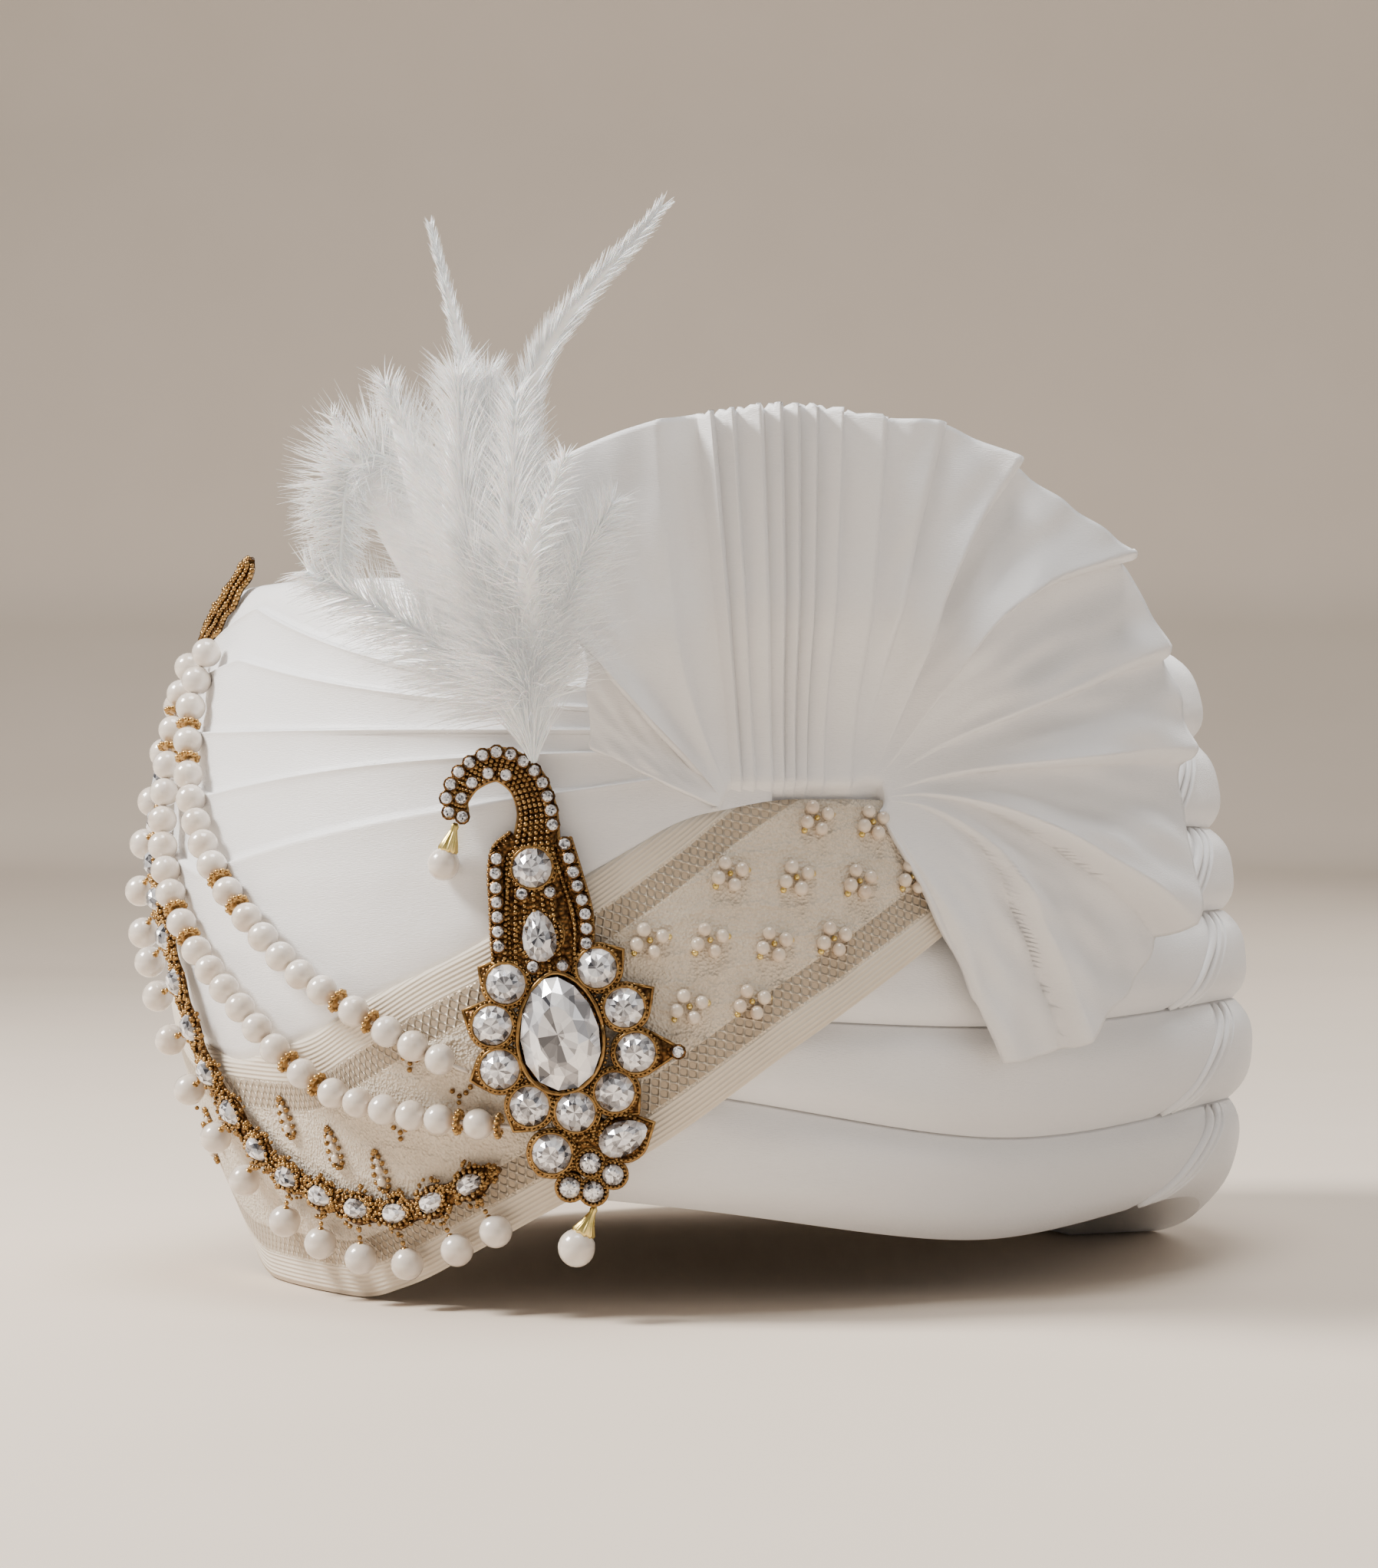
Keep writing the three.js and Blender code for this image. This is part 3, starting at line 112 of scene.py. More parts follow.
def smooth_table(xs, ys, at):
    """Cubic through the rows (x, y): each row's slope is the rise over run of its two neighbours."""
    xs, ys, at = np.asarray(xs, float), np.asarray(ys, float), np.asarray(at, float)
    before = np.maximum(np.arange(len(xs)) - 1, 0)
    after = np.minimum(np.arange(len(xs)) + 1, len(xs) - 1)
    slope = (ys[after] - ys[before]) / (xs[after] - xs[before])
    i = np.clip(np.searchsorted(xs, at, side="right") - 1, 0, len(xs) - 2)
    span = xs[i + 1] - xs[i]
    t = np.clip((at - xs[i]) / span, 0, 1)
    return cubic(t, ys[i], ys[i + 1], span * slope[i], span * slope[i + 1])


def lerp(a, b, t):
    """Straight mix: a where t is 0, b where t is 1."""
    return a + (b - a) * t


def smoothstep(low, high, at):
    """0 below low, 1 above high, and an S curve 3t^2 - 2t^3 between."""
    t = np.clip((np.asarray(at, float) - low) / (high - low), 0, 1)
    return t * t * (3 - 2 * t)


def body_radius(angle, height):
    """Reach of the envelope: (|sin/wide|^p + |cos/along|^p)^(-1/p), angle in degrees from the front."""
    up = np.asarray(height, float) / BODY_HEIGHT
    sine, cosine = np.sin(np.radians(angle)), np.cos(np.radians(angle))
    front = FRONT_REACH * smooth_table(GIRTH[:, 0], GIRTH[:, 1], up)
    back = BACK_REACH * smooth_table(GIRTH[:, 0], GIRTH[:, 3], up)
    wide = HALF_WIDTH * smooth_table(GIRTH[:, 0], GIRTH[:, 2], up)
    along = np.where(cosine > 0, front, back)
    return (np.abs(sine / wide) ** PLAN_POWER + np.abs(cosine / along) ** PLAN_POWER) ** (-1 / PLAN_POWER)


def polar(angle, radius, height):
    """Point at (r sin a, -r cos a, z): angle 0 is the front, 90 the wearer's left."""
    a = np.radians(angle)
    radius, height = np.broadcast_arrays(radius, height)
    return np.stack([radius * np.sin(a), -radius * np.cos(a), height + 0 * a], -1)


def on_body(angle, height, lift=0.0):
    """Point on the envelope, pushed out by lift."""
    return polar(angle, body_radius(angle, height) + lift, height)


def around(count):
    """Even turns of a full circle, in radians, without the last that would repeat the first."""
    return np.linspace(0, 2 * math.pi, count, endpoint=False)


def run_along(line, power=1.0):
    """Distance run at each point of a line: the sum of its steps, each to a power if asked."""
    return np.concatenate([[0], np.cumsum(np.linalg.norm(np.diff(line, axis=0), axis=1) ** power)])


print("front reach at mid height, mm", round(float(body_radius(0, 90)), 1))

# %% [markdown]
# Every piece below becomes a mesh in the same way: an array of points, and arrays of faces that index
# it. A grid of points has a face between each four neighbours. A form that is repeated, such as a
# pearl, is one small mesh multiplied by a list of frames, each with a place and three directions.

# %% Meshes from arrays
def build(name, points, faces, uv=None, smooth=True):
    """Mesh object from points in mm and a list of face arrays, with one uv pair for each point."""
    faces = [np.asarray(f, np.int64) for f in (faces if isinstance(faces, list) else [faces]) if len(f)]
    loops = np.concatenate([f.ravel() for f in faces])
    sizes = np.concatenate([np.full(len(f), f.shape[1]) for f in faces])
    mesh = bpy.data.meshes.new(name)
    mesh.vertices.add(len(points))
    mesh.vertices.foreach_set("co", to_frame(points).astype(np.float32).ravel())
    mesh.loops.add(len(loops))
    mesh.loops.foreach_set("vertex_index", loops.astype(np.int32))
    mesh.polygons.add(len(sizes))
    mesh.polygons.foreach_set("loop_start", (np.cumsum(sizes) - sizes).astype(np.int32))
    mesh.polygons.foreach_set("use_smooth", np.full(len(sizes), smooth))
    if uv is not None:
        layer = mesh.uv_layers.new(name="cloth")
        layer.data.foreach_set("uv", np.asarray(uv, np.float32).reshape(-1, 2)[loops].ravel())
    mesh.update(calc_edges=True)
    mesh.validate()
    piece = bpy.data.objects.new(name, mesh)
    bpy.context.scene.collection.objects.link(piece)
    return piece


def give_wall(piece, thickness):
    """Turns a surface into cloth of that thickness in metres, grown inwards."""
    wall = piece.modifiers.new("wall", "SOLIDIFY")
    wall.thickness, wall.offset = thickness, -1


def grid_faces(rows, cols, around_cols=False):
    """Four-sided faces of a grid; points run row by row, and the face's front is row way x column way."""
    i, j = np.meshgrid(np.arange(rows - 1), np.arange(cols - (not around_cols)), indexing="ij")
    i, j = i.ravel(), j.ravel()
    corner = lambda a, b: a * cols + b % cols
    return np.stack([corner(i, j), corner(i + 1, j), corner(i + 1, j + 1), corner(i, j + 1)], 1)


def closed_tube(sections):
    """Points and faces of a tube of ring sections (n, k, 3): the rings joined, a fan at each end."""
    n, k = sections.shape[:2]
    points = np.concatenate([sections.reshape(-1, 3), sections[[0, -1]].mean(1)])
    ring = np.arange(k)
    first = np.stack([np.full(k, n * k), (ring + 1) % k, ring], 1)
    last = np.stack([np.full(k, n * k + 1), (n - 1) * k + ring, (n - 1) * k + (ring + 1) % k], 1)
    sides = grid_faces(n, k, around_cols=True)
    centres = sections.mean(1)
    spokes = sections[n // 2] - centres[n // 2]
    facing = np.cross(spokes, np.roll(spokes, -1, 0)).sum(0) @ (centres[-1] - centres[0])
    if facing > 0:
        return points, [sides[:, ::-1], first, last]
    return points, [sides, first[:, ::-1], last[:, ::-1]]


def repeat(shape_points, shape_faces, origins, frames, sizes=1.0):
    """Copies of one form: point = origin + size * (frame matrix times form point)."""
    shape_points = np.asarray(shape_points, float)
    sizes = np.broadcast_to(np.asarray(sizes, float).reshape(-1, 1) if np.ndim(sizes) < 2 else sizes,
                            (len(origins), 3 if np.ndim(sizes) == 2 else 1))
    scaled = shape_points[None] * sizes[:, None, :]
    points = np.einsum("mij,mnj->mni", frames, scaled) + np.asarray(origins)[:, None, :]
    step = len(shape_points) * np.arange(len(origins))
    faces = [(f[None] + step[:, None, None]).reshape(-1, f.shape[1]) for f in shape_faces]
    return points.reshape(-1, 3), faces


def upright(count):
    """Frames that leave a form as it is, one for each copy."""
    return np.repeat(np.eye(3)[None], count, 0)


def joined(*parts):
    """Several (points, faces) parts as one."""
    start, points, faces = 0, [], []
    for part_points, part_faces in parts:
        points.append(part_points)
        faces += [f + start for f in part_faces]
        start += len(part_points)
    return np.concatenate(points), faces


def unit(vectors):
    """Vectors made one long."""
    return vectors / np.maximum(np.linalg.norm(vectors, axis=-1, keepdims=True), 1e-9)


def lifted(flat, up):
    """Flat points (x, y) given one height."""
    return np.column_stack([flat, np.full(len(flat), up)])


def ball(rings=8, corners=12):
    """Sphere one across: x = sin p cos t / 2, y = sin p sin t / 2, z = cos p / 2, closed at the poles."""
    p = np.linspace(0, math.pi, rings + 1)[1:-1, None]
    t = around(corners)[None]
    body = np.stack([np.sin(p) * np.cos(t), np.sin(p) * np.sin(t), np.cos(p) + 0 * t], -1).reshape(-1, 3) / 2
    points = np.concatenate([body, [[0, 0, 0.5], [0, 0, -0.5]]])
    ring, n = np.arange(corners), len(body)
    top = np.stack([np.full(corners, n), ring, (ring + 1) % corners], 1)
    low = n - corners
    bottom = np.stack([np.full(corners, n + 1), low + (ring + 1) % corners, low + ring], 1)
    return points, [grid_faces(rings - 1, corners, around_cols=True), top, bottom]


print("ball faces", sum(len(f) for f in ball()[1]))

# %% [markdown]
# A material is a small sum over the surface: a colour, a roughness and a bump, each changed by
# patterns. To write such sums as plain Python, a small class wraps a socket of the node tree and gives
# it the signs + - * / and powers. Every other node comes from one method.

# %% A small language for materials
class Signal:
    """A number that varies over a surface. The signs + - * / ** add Math nodes to its finish."""

    def __init__(self, finish, socket):
        self.finish, self.socket = finish, socket

    def _math(self, operation, first, second):
        """One Math node."""
        return self.finish.node("ShaderNodeMath", {"operation": operation}, {0: first, 1: second})

    def __add__(self, other):
        return self._math("ADD", self, other)

    def __sub__(self, other):
        return self._math("SUBTRACT", self, other)

    def __rsub__(self, other):
        return self._math("SUBTRACT", other, self)

    def __mul__(self, other):
        return self._math("MULTIPLY", self, other)

    def __truediv__(self, other):
        return self._math("DIVIDE", self, other)

    def __pow__(self, other):
        return self._math("POWER", self, other)

    __radd__ = __add__
    __rmul__ = __mul__


class Finish:
    """One material: its node tree, with a Principled shader at the end."""

    def __init__(self, name, **fixed):
        self.material = bpy.data.materials.new(name)
        self.material.use_nodes = True
        self.tree = self.material.node_tree
        self.shader = self.tree.nodes["Principled BSDF"]
        for socket, value in fixed.items():
            self.shader.inputs[socket.replace("_", " ")].default_value = value

    def node(self, kind, settings=None, inputs=None, output=0):
        """A node of that kind, its settings first and then its sockets; gives one output."""
        made = self.tree.nodes.new(kind)
        for key, value in (settings or {}).items():
            if key == "stops":
                ramp = made.color_ramp.elements
                while len(ramp) < len(value):
                    ramp.new(0.5)
                for stop, (place, colour) in zip(ramp, value):
                    stop.position, stop.color = place, (*colour, 1)
            else:
                setattr(made, key, value)
        for key, value in (inputs or {}).items():
            if isinstance(value, Signal):
                self.tree.links.new(value.socket, made.inputs[key])
            elif value is not None:
                made.inputs[key].default_value = value
        return Signal(self, made.outputs[output])

    def place(self, kind="Object"):
        """Coordinates of a surface point: metres in the piece's own space, or another kind."""
        return self.node("ShaderNodeTexCoord", output=kind)

    def across(self, vector, axis):
        """One coordinate of a vector, by its letter."""
        return self.node("ShaderNodeSeparateXYZ", inputs={0: vector}, output=axis)

    def noise(self, scale, detail=2.0, vector=None, stretch=None, rough=0.5):
        """Soft noise of about 1 / scale metres, stretched along chosen ways if asked."""
        vector = vector or self.place()
        if stretch:
            vector = self.node("ShaderNodeMapping", inputs={"Vector": vector, "Scale": stretch})
        return self.node("ShaderNodeTexNoise", inputs={
            "Vector": vector, "Scale": scale, "Detail": detail, "Roughness": rough})

    def cells(self, scale, vector=None, feature="F1", output="Distance", randomness=1.0):
        """Cells of about 1 / scale metres: the distance to the nearest middle, or that cell's colour."""
        return self.node("ShaderNodeTexVoronoi", {"feature": feature}, {
            "Vector": vector or self.place(), "Scale": scale, "Randomness": randomness}, output)

    def ramp(self, value, stops, output="Color"):
        """Colour read along stops of (value, colour)."""
        return self.node("ShaderNodeValToRGB", {"stops": stops}, {"Fac": value}, output)

    def mix(self, share, first, second):
        """Colour mix: first where share is 0 and second where it is 1."""
        colour = lambda c: (*c, 1) if isinstance(c, tuple) else c
        return self.node("ShaderNodeMix", {"data_type": "RGBA"}, {
            "Factor": share, 6: colour(first), 7: colour(second)}, 2)

    def limit(self, value, low=0.0, high=1.0):
        """The value, held between low and high."""
        return self.node("ShaderNodeClamp", inputs={"Value": value, "Min": low, "Max": high})

    def wave(self, value, period):
        """0 to 1 and back in each period of the value: (1 + cos(2 pi value / period)) / 2."""
        turns = value * (2 * math.pi / period)
        return self.node("ShaderNodeMath", {"operation": "COSINE"}, {0: turns}) * 0.5 + 0.5

    def set(self, **values):
        """Links a value to each named socket of the shader; Bump takes (height, depth in metres)."""
        for key, value in values.items():
            if key == "Bump":
                height, depth = value
                value = self.node("ShaderNodeBump", inputs={
                    "Height": height, "Strength": 1.0, "Distance": depth})
                key = "Normal"
            if isinstance(value, Signal):
                self.tree.links.new(value.socket, self.shader.inputs[key.replace("_", " ")])
        return self.material


# %% [markdown]
# Satin is woven so that long threads float on its face, so it shines softly, with a faint grain along
# the threads. The colour hardly changes: what the eye reads is the light on its folds. A fine noise,
# stretched one way, gives the grain, and a wide faint one keeps large faces from looking like plastic.

# %% Satin
def satin_finish(name="ivory_satin", base=(0.88, 0.868, 0.862)):
    """Satin: a fine grain along the threads and a wide cloud move colour, roughness and bump a little."""
    finish = Finish(name, Sheen_Weight=0.2, Sheen_Roughness=0.4, Specular_IOR_Level=0.55)
    grain = finish.noise(900, 3, stretch=(1, 1, 6))
    cloud = finish.noise(28, 2)
    deep = tuple(c * 0.955 for c in base)
    return finish.set(
        Base_Color=finish.mix(finish.limit(cloud * 0.6 + grain * 0.4), deep, base),
        Roughness=0.22 + 0.12 * grain + 0.07 * cloud,
        Bump=(grain * 0.3 + cloud * 2.6 + finish.noise(11, 2, stretch=(1, 1, 2.5)) * 7, 0.0005),
    )


def highlighted_edge_satin_finish():
    """The turned edge of the satin: the same cloth, its colour painted brighter as a highlight."""
    finish = Finish("satin_edge_highlight", Sheen_Weight=0.3, Specular_IOR_Level=0.5)
    grain = finish.noise(1500, 2)
    return finish.set(
        # Painted highlight: this colour is lighter than the satin's, standing in for the light that the
        # turned edges catch.
        Base_Color=finish.mix(grain, (0.90, 0.89, 0.885), (0.95, 0.945, 0.94)),
        Roughness=0.3 + 0.15 * grain,
        Bump=(grain, 0.0001),
    )


SATIN = satin_finish()
SATIN_EDGE_HIGHLIGHT = highlighted_edge_satin_finish()
print("finishes", SATIN.name, SATIN_EDGE_HIGHLIGHT.name)

# %% [markdown]
# The inside cap is plain cotton, a checked weave of thread over thread. Pearls are ivory with a clear
# coat over a soft body, and their faint pink and green come from a slow change of tint. The metal is
# old gold: bright on what is raised, nearly brown in what is sunk. The stones are cut glass on a
# silver back; each facet is given its own grey, nearly black to white, as a painted reflection.

# %% Cotton, pearl, gold, stone and feather
def cotton_finish():
    """Cotton: two waves cross as a checked weave, a b + (1 - a)(1 - b), under a soft cloud."""
    finish = Finish("cap_cotton", Sheen_Weight=0.15)
    place = finish.place()
    weft = finish.wave(finish.across(place, "Z"), 0.0009)
    warp = finish.wave(finish.across(place, "X") + finish.across(place, "Y"), 0.0011)
    weave = weft * warp + (1 - weft) * (1 - warp)
    cloud = finish.noise(60, 3)
    return finish.set(
        Base_Color=finish.mix(cloud, (0.66, 0.62, 0.55), (0.80, 0.77, 0.71)),
        Roughness=0.72 + 0.15 * cloud,
        Bump=(weave + cloud * 2, 0.00012),
    )


def pearl_finish(name="ivory_pearl", tints=((0.60, 0.50, 0.41), (0.72, 0.64, 0.55), (0.66, 0.59, 0.53))):
    """Pearl: three tints along a slow noise and a faint unevenness of the skin, under a clear coat."""
    finish = Finish(name, Coat_Weight=1.0, Coat_Roughness=0.05, Specular_IOR_Level=0.8)
    tint = finish.noise(180, 2)
    skin = finish.noise(1400, 2)
    colour = finish.ramp(tint, list(zip((0.3, 0.5, 0.7), tints)))
    return finish.set(
        Base_Color=colour,
        Roughness=0.18 + 0.1 * skin,
        Bump=(skin, 0.00003),
    )


def gold_finish(name="old_gold", bright=(0.17, 0.085, 0.028), dark=(0.025, 0.010, 0.004), grain=900):
    """Old gold: every cell is a bead, bright and smooth at its middle, dark and rough between."""
    finish = Finish(name, Metallic=1.0)
    beads = finish.cells(grain)
    patch = finish.noise(320, 3)
    raised = finish.limit(1.35 - beads * 1.6 + (patch - 0.5) * 0.9)
    return finish.set(
        Base_Color=finish.mix(raised, dark, bright),
        Roughness=0.5 - 0.26 * raised,
        Bump=(1 - beads, 0.00035),
    )


def smooth_gold_finish(name="polished_gold", dark=(0.24, 0.12, 0.035), bright=(0.66, 0.43, 0.17)):
    """Polished gold: one noise moves the colour from dark to bright and the roughness a little."""
    finish = Finish(name, Metallic=1.0)
    patch = finish.noise(500, 3)
    return finish.set(
        Base_Color=finish.mix(finish.limit(patch * 1.6 - 0.3), dark, bright),
        Roughness=0.2 + 0.2 * patch,
        Bump=(patch, 0.00008),
    )


def stone_finish(name="cut_stone", chip=520, share=0.28, lift=0.0):
    """Cut stone with painted reflections: each facet's own number and small chips add up to its grey, nearly
    black to white.
    """
    finish = Finish(name, Coat_Weight=1.0, Coat_Roughness=0.02, Specular_IOR_Level=0.9)
    glint = finish.node("ShaderNodeAttribute", {"attribute_name": "glint"}, output="Fac")
    chips = finish.across(finish.cells(chip, output="Color"), "X")
    # Painted reflection: tone, from the facet's number and the chips, stands in for the light that each facet
    # reflects.
    tone = finish.limit(glint * (1.02 - share) + chips * share + lift)
    return finish.set(
        Base_Color=finish.ramp(tone, [
            (0.12, (0.06, 0.06, 0.07)), (0.38, (0.38, 0.37, 0.38)), (0.6, (0.82, 0.82, 0.85)),
            (0.9, (1, 1, 1))]),
        Metallic=0.55 * (1 - chips * 0.4),
        Roughness=0.05 + 0.08 * chips,
    )


def feather_finish():
    """Down: white along a soft noise, with a faint painted glow, an emission that stands in for light passed
    between barbs.
    """
    # Emission_Strength here is painted light: a faint glow for the light that bounces between barbs.
    finish = Finish("white_down", Sheen_Weight=0.3, Subsurface_Weight=0.3, Subsurface_Scale=0.003,
                    Emission_Strength=0.12)
    tone = finish.noise(120, 2)
    return finish.set(
        Base_Color=finish.mix(tone, (0.95, 0.94, 0.925), (0.985, 0.978, 0.965)),
        Roughness=0.7 + 0.2 * tone,
        # Painted light: the emission colour makes the down glow faintly in place of light bounced between its
        # barbs.
        Emission_Color=finish.mix(tone, (0.90, 0.87, 0.83), (1.0, 0.975, 0.94)),
    )


COTTON, PEARL_SKIN, OLD_GOLD = cotton_finish(), pearl_finish(), gold_finish()
# STONE, LARGE_STONE and CHIP_STONE paint reflections: each facet's grey stands in for reflected light.
BRIGHT_GOLD, STONE, DOWN = smooth_gold_finish(), stone_finish(), feather_finish()
SMALL_PEARL_SKIN = pearl_finish(
    "champagne_pearl", ((0.60, 0.46, 0.33), (0.73, 0.61, 0.47), (0.68, 0.57, 0.45)))
LARGE_STONE, CHIP_STONE = stone_finish("large_stone", 260, 0.3), stone_finish("chip_stone", 520, 0.2, 0.02)
GRAIN_GOLD = smooth_gold_finish("grain_gold", (0.12, 0.055, 0.018), (0.46, 0.28, 0.10))
YELLOW_GOLD = smooth_gold_finish("yellow_gold", (0.62, 0.44, 0.10), (0.95, 0.76, 0.30))
print("finishes", len(bpy.data.materials))


def dress(piece, finish, slot, *nodes):
    """Gives a piece its finish, its body and the solids that it stands for."""
    piece.data.materials.clear()
    piece.data.materials.append(finish)
    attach(piece, "root")
    if nodes:
        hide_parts(*nodes)
    return piece


# %% [markdown]
# The rolls. On the real turban long satin is folded lengthwise and wound round a cap, so the side shows
# soft rolls, one over another, with a crisp line between. Each could be a stretched tube, but a roll
# has to follow the lines that the winder leaves, so each is a surface of two numbers: the angle round
# the head, and the share of the way round the roll's own section.

# %% Lines between the rolls
LINE_STOPS = np.array([
    [0.2, 0.157, 0.082, 0.105, -0.02], [0.39, 0.33, 0.237, 0.255, 0.23],
    [0.45, 0.435, 0.403, 0.417, 0.4], [0.58, 0.568, 0.548, 0.56, 0.55],
    [0.71, 0.705, 0.697, 0.694, 0.685], [0.848, 0.846, 0.844, 0.838, 0.83],
    [0.988, 0.988, 0.988, 0.985, 0.982],
])
PIPING_LOW, PIPING_HIGH = 121, 134
HEAD_LENGTH, HEAD_WIDTH, CAP_WALL, CAP_SPRING, CAP_TOP = 200, 165, 2.5, 105, 170
LINE_GAP, FRONT_PARTING, PIPING_GAP = 0.3, 0.25, 0.5


def line_height(line, angle):
    """Height of a line: a smooth cubic through its five stops, the same on both sides of the head."""
    folded = np.abs((np.asarray(angle, float) + 180) % 360 - 180) / 45
    i = np.clip(np.floor(folded).astype(int), 0, 3)
    stops = LINE_STOPS[line]
    at = lambda k: stops[4 - np.abs(4 - np.abs(k))]
    up = cubic(folded - i, at(i), at(i + 1), (at(i + 1) - at(i - 1)) / 2, (at(i + 2) - at(i)) / 2)
    return np.maximum(up, 0) * BODY_HEIGHT


def cap_radius(angle, height, wall=0.0):
    """Outside of the cap, less wall: the head's oval and the cap's wall, domed above its spring line."""
    sine = np.sin(np.radians(angle)) / (HEAD_WIDTH / 2 + CAP_WALL - wall)
    cosine = np.cos(np.radians(angle)) / (HEAD_LENGTH / 2 + CAP_WALL - wall)
    rise = np.maximum(0, (height - CAP_SPRING) / (CAP_TOP - wall - CAP_SPRING))
    return np.sqrt(np.maximum(0, 1 - rise * rise)) / np.hypot(sine, cosine)


ROLL_SHARES = np.concatenate([
    [0, 0.004, 0.014, 0.03, 0.055], np.linspace(0.09, 0.91, 13), [0.945, 0.97, 0.986, 0.996, 1]])


def roll_points(tier, angles, inner_angles, soft_start, soft_end):
    """Roll as a tube. Outside: envelope minus notch |2s - 1|^3, s the height share, plus two slow waves;
    the top roll has the power 3.4. Inside: the cap plus a clearance. Near its two ends the roll sinks a
    little, as a turned edge does."""
    top = tier == 5
    share = ROLL_SHARES[None]
    low = lambda at: line_height(tier, at) + (LINE_GAP if tier else 0)
    high = lambda at: line_height(tier + 1, at) - (0 if top else LINE_GAP)
    height = lerp(low(angles), high(angles), share)
    notch = np.where(share > 0.5, 6.5 if top else 4.6, 5.5 if tier == 0 else 4.8)
    power = 3.4 if top else 3.0
    wave = (0.5 * np.sin(np.radians(angles * 2.6 + 77 * tier))
            + 0.35 * np.sin(np.radians(angles * 6.1 + 41 * tier + 150 * share)))
    middle = 1 - np.abs(2 * share - 1) ** 2
    sink = 2.2 * (np.clip(1 - soft_start / 3, 0, 1) ** 2 + np.clip(1 - soft_end / 3, 0, 1) ** 2)
    lift = 0.5 - notch * np.abs(2 * share - 1) ** power + wave * middle - sink[:, None]
    outer = on_body(angles, height, lift)
    clear = lambda z: np.where(z > CAP_SPRING, 3.4, 1.3)
    inner = []
    for s in (1.0, 0.66, 0.33, 0.0):
        z = lerp(low(inner_angles), high(inner_angles), s) + lerp(6 if tier else 0, -12 if top else 6, s)
        inner.append(polar(inner_angles, cap_radius(inner_angles, z) + clear(z), z))
    return np.concatenate([outer, *inner], 1)


def side_roll(tier, side):
    """Side roll from the front to the piping, which leans back by 13 degrees over its height."""
    way = np.concatenate([np.linspace(0, 0.94, 92), np.linspace(0.95, 1, 14)])[:, None]
    end = lerp(PIPING_LOW, PIPING_HIGH, ROLL_SHARES[None])
    span, far_from_end = 127.0, 9.0
    return roll_points(tier, side * lerp(FRONT_PARTING, end, way), side * lerp(FRONT_PARTING, span, way),
                       np.full(len(way), far_from_end), (1 - way[:, 0]) * span)


def back_roll(tier):
    """Back roll between the two pipings: its ends lean as they do."""
    way = np.concatenate([
        np.linspace(0, 0.06, 10), np.linspace(0.07, 0.93, 70), np.linspace(0.94, 1, 10)])[:, None]
    start = lerp(PIPING_LOW, PIPING_HIGH, ROLL_SHARES[None]) + PIPING_GAP
    span = 106
    return roll_points(tier, lerp(start, 360 - start, way), lerp(128.0, 232.0, way),
                       way[:, 0] * span, (1 - way[:, 0]) * span)


for tier in range(6):
    for label, points in (
            ("left", side_roll(tier, 1)), ("right", side_roll(tier, -1)), ("back", back_roll(tier))):
        roll_body, roll_faces = closed_tube(points)
        roll = build(f"satin_{label}_roll_{tier + 1}", roll_body, roll_faces)
        dress(roll, SATIN, "satin", f"{label}_roll_{tier + 1}")
print("rolls", 18)

# %% [markdown]
# Where a side roll ends, its folded edge is turned and pressed, and a narrow second fold lies just
# behind it. Each is a thin round welt that follows the roll's end over its whole height.

# %% Welts at the ends of the side rolls
def tube_along(path, radius, corners=8, outward=None):
    """Round tube on a path: a ring of that radius about each point, square to the path."""
    path = np.asarray(path, float)
    run = unit(np.gradient(path, axis=0))
    out = unit(path * [1, 1, 0]) if outward is None else outward
    side = unit(np.cross(run, out))
    up = np.cross(side, run)
    turn = around(corners)
    radius = np.broadcast_to(np.asarray(radius, float).reshape(-1, 1, 1), (len(path), 1, 1))
    ring = (np.cos(turn)[None, :, None] * side[:, None] + np.sin(turn)[None, :, None] * up[:, None])
    return closed_tube(path[:, None] + radius * ring)


def welt(tier, side, shift, radius):
    """Welt path: the piping line shifted back by some degrees, on the roll's own outside."""
    share = np.linspace(0.015, 0.985, 26)
    angle = lerp(PIPING_LOW, PIPING_HIGH, share) + shift
    low, high = line_height(tier, angle), line_height(tier + 1, angle)
    height = lerp(low, high, share)
    notch = 6.0 if tier == 5 else 4.7
    lift = 0.1 - notch * np.abs(2 * share - 1) ** 3.0
    taper = np.sqrt(np.clip(1 - np.abs(2 * share - 1) ** 6, 0.05, 1))
    return tube_along(on_body(side * angle, height, lift), radius * taper)


for side, label in ((1, "left"), (-1, "right")):
    welts = [welt(tier, side, shift, radius) for tier in range(6)
             for shift, radius in ((-0.9, 1.35), (1.5, 1.1), (3.9, 0.7))]
    # The welts take the lighter edge satin, a painted highlight along the rolls' turned ends.
    dress(build(f"{label}_roll_welts", *joined(*welts)), SATIN_EDGE_HIGHLIGHT, "satin")

# %% [markdown]
# The lace band crosses the front low down, makes the prow and climbs to the fan on each side. It is a
# stiff ribbon, so its surface is a grid of the angle round the head and the share of its width. The
# pattern needs real distances, so each point also gets the length along the band and the distance from
# its lower edge as its uv pair, in centimetres.

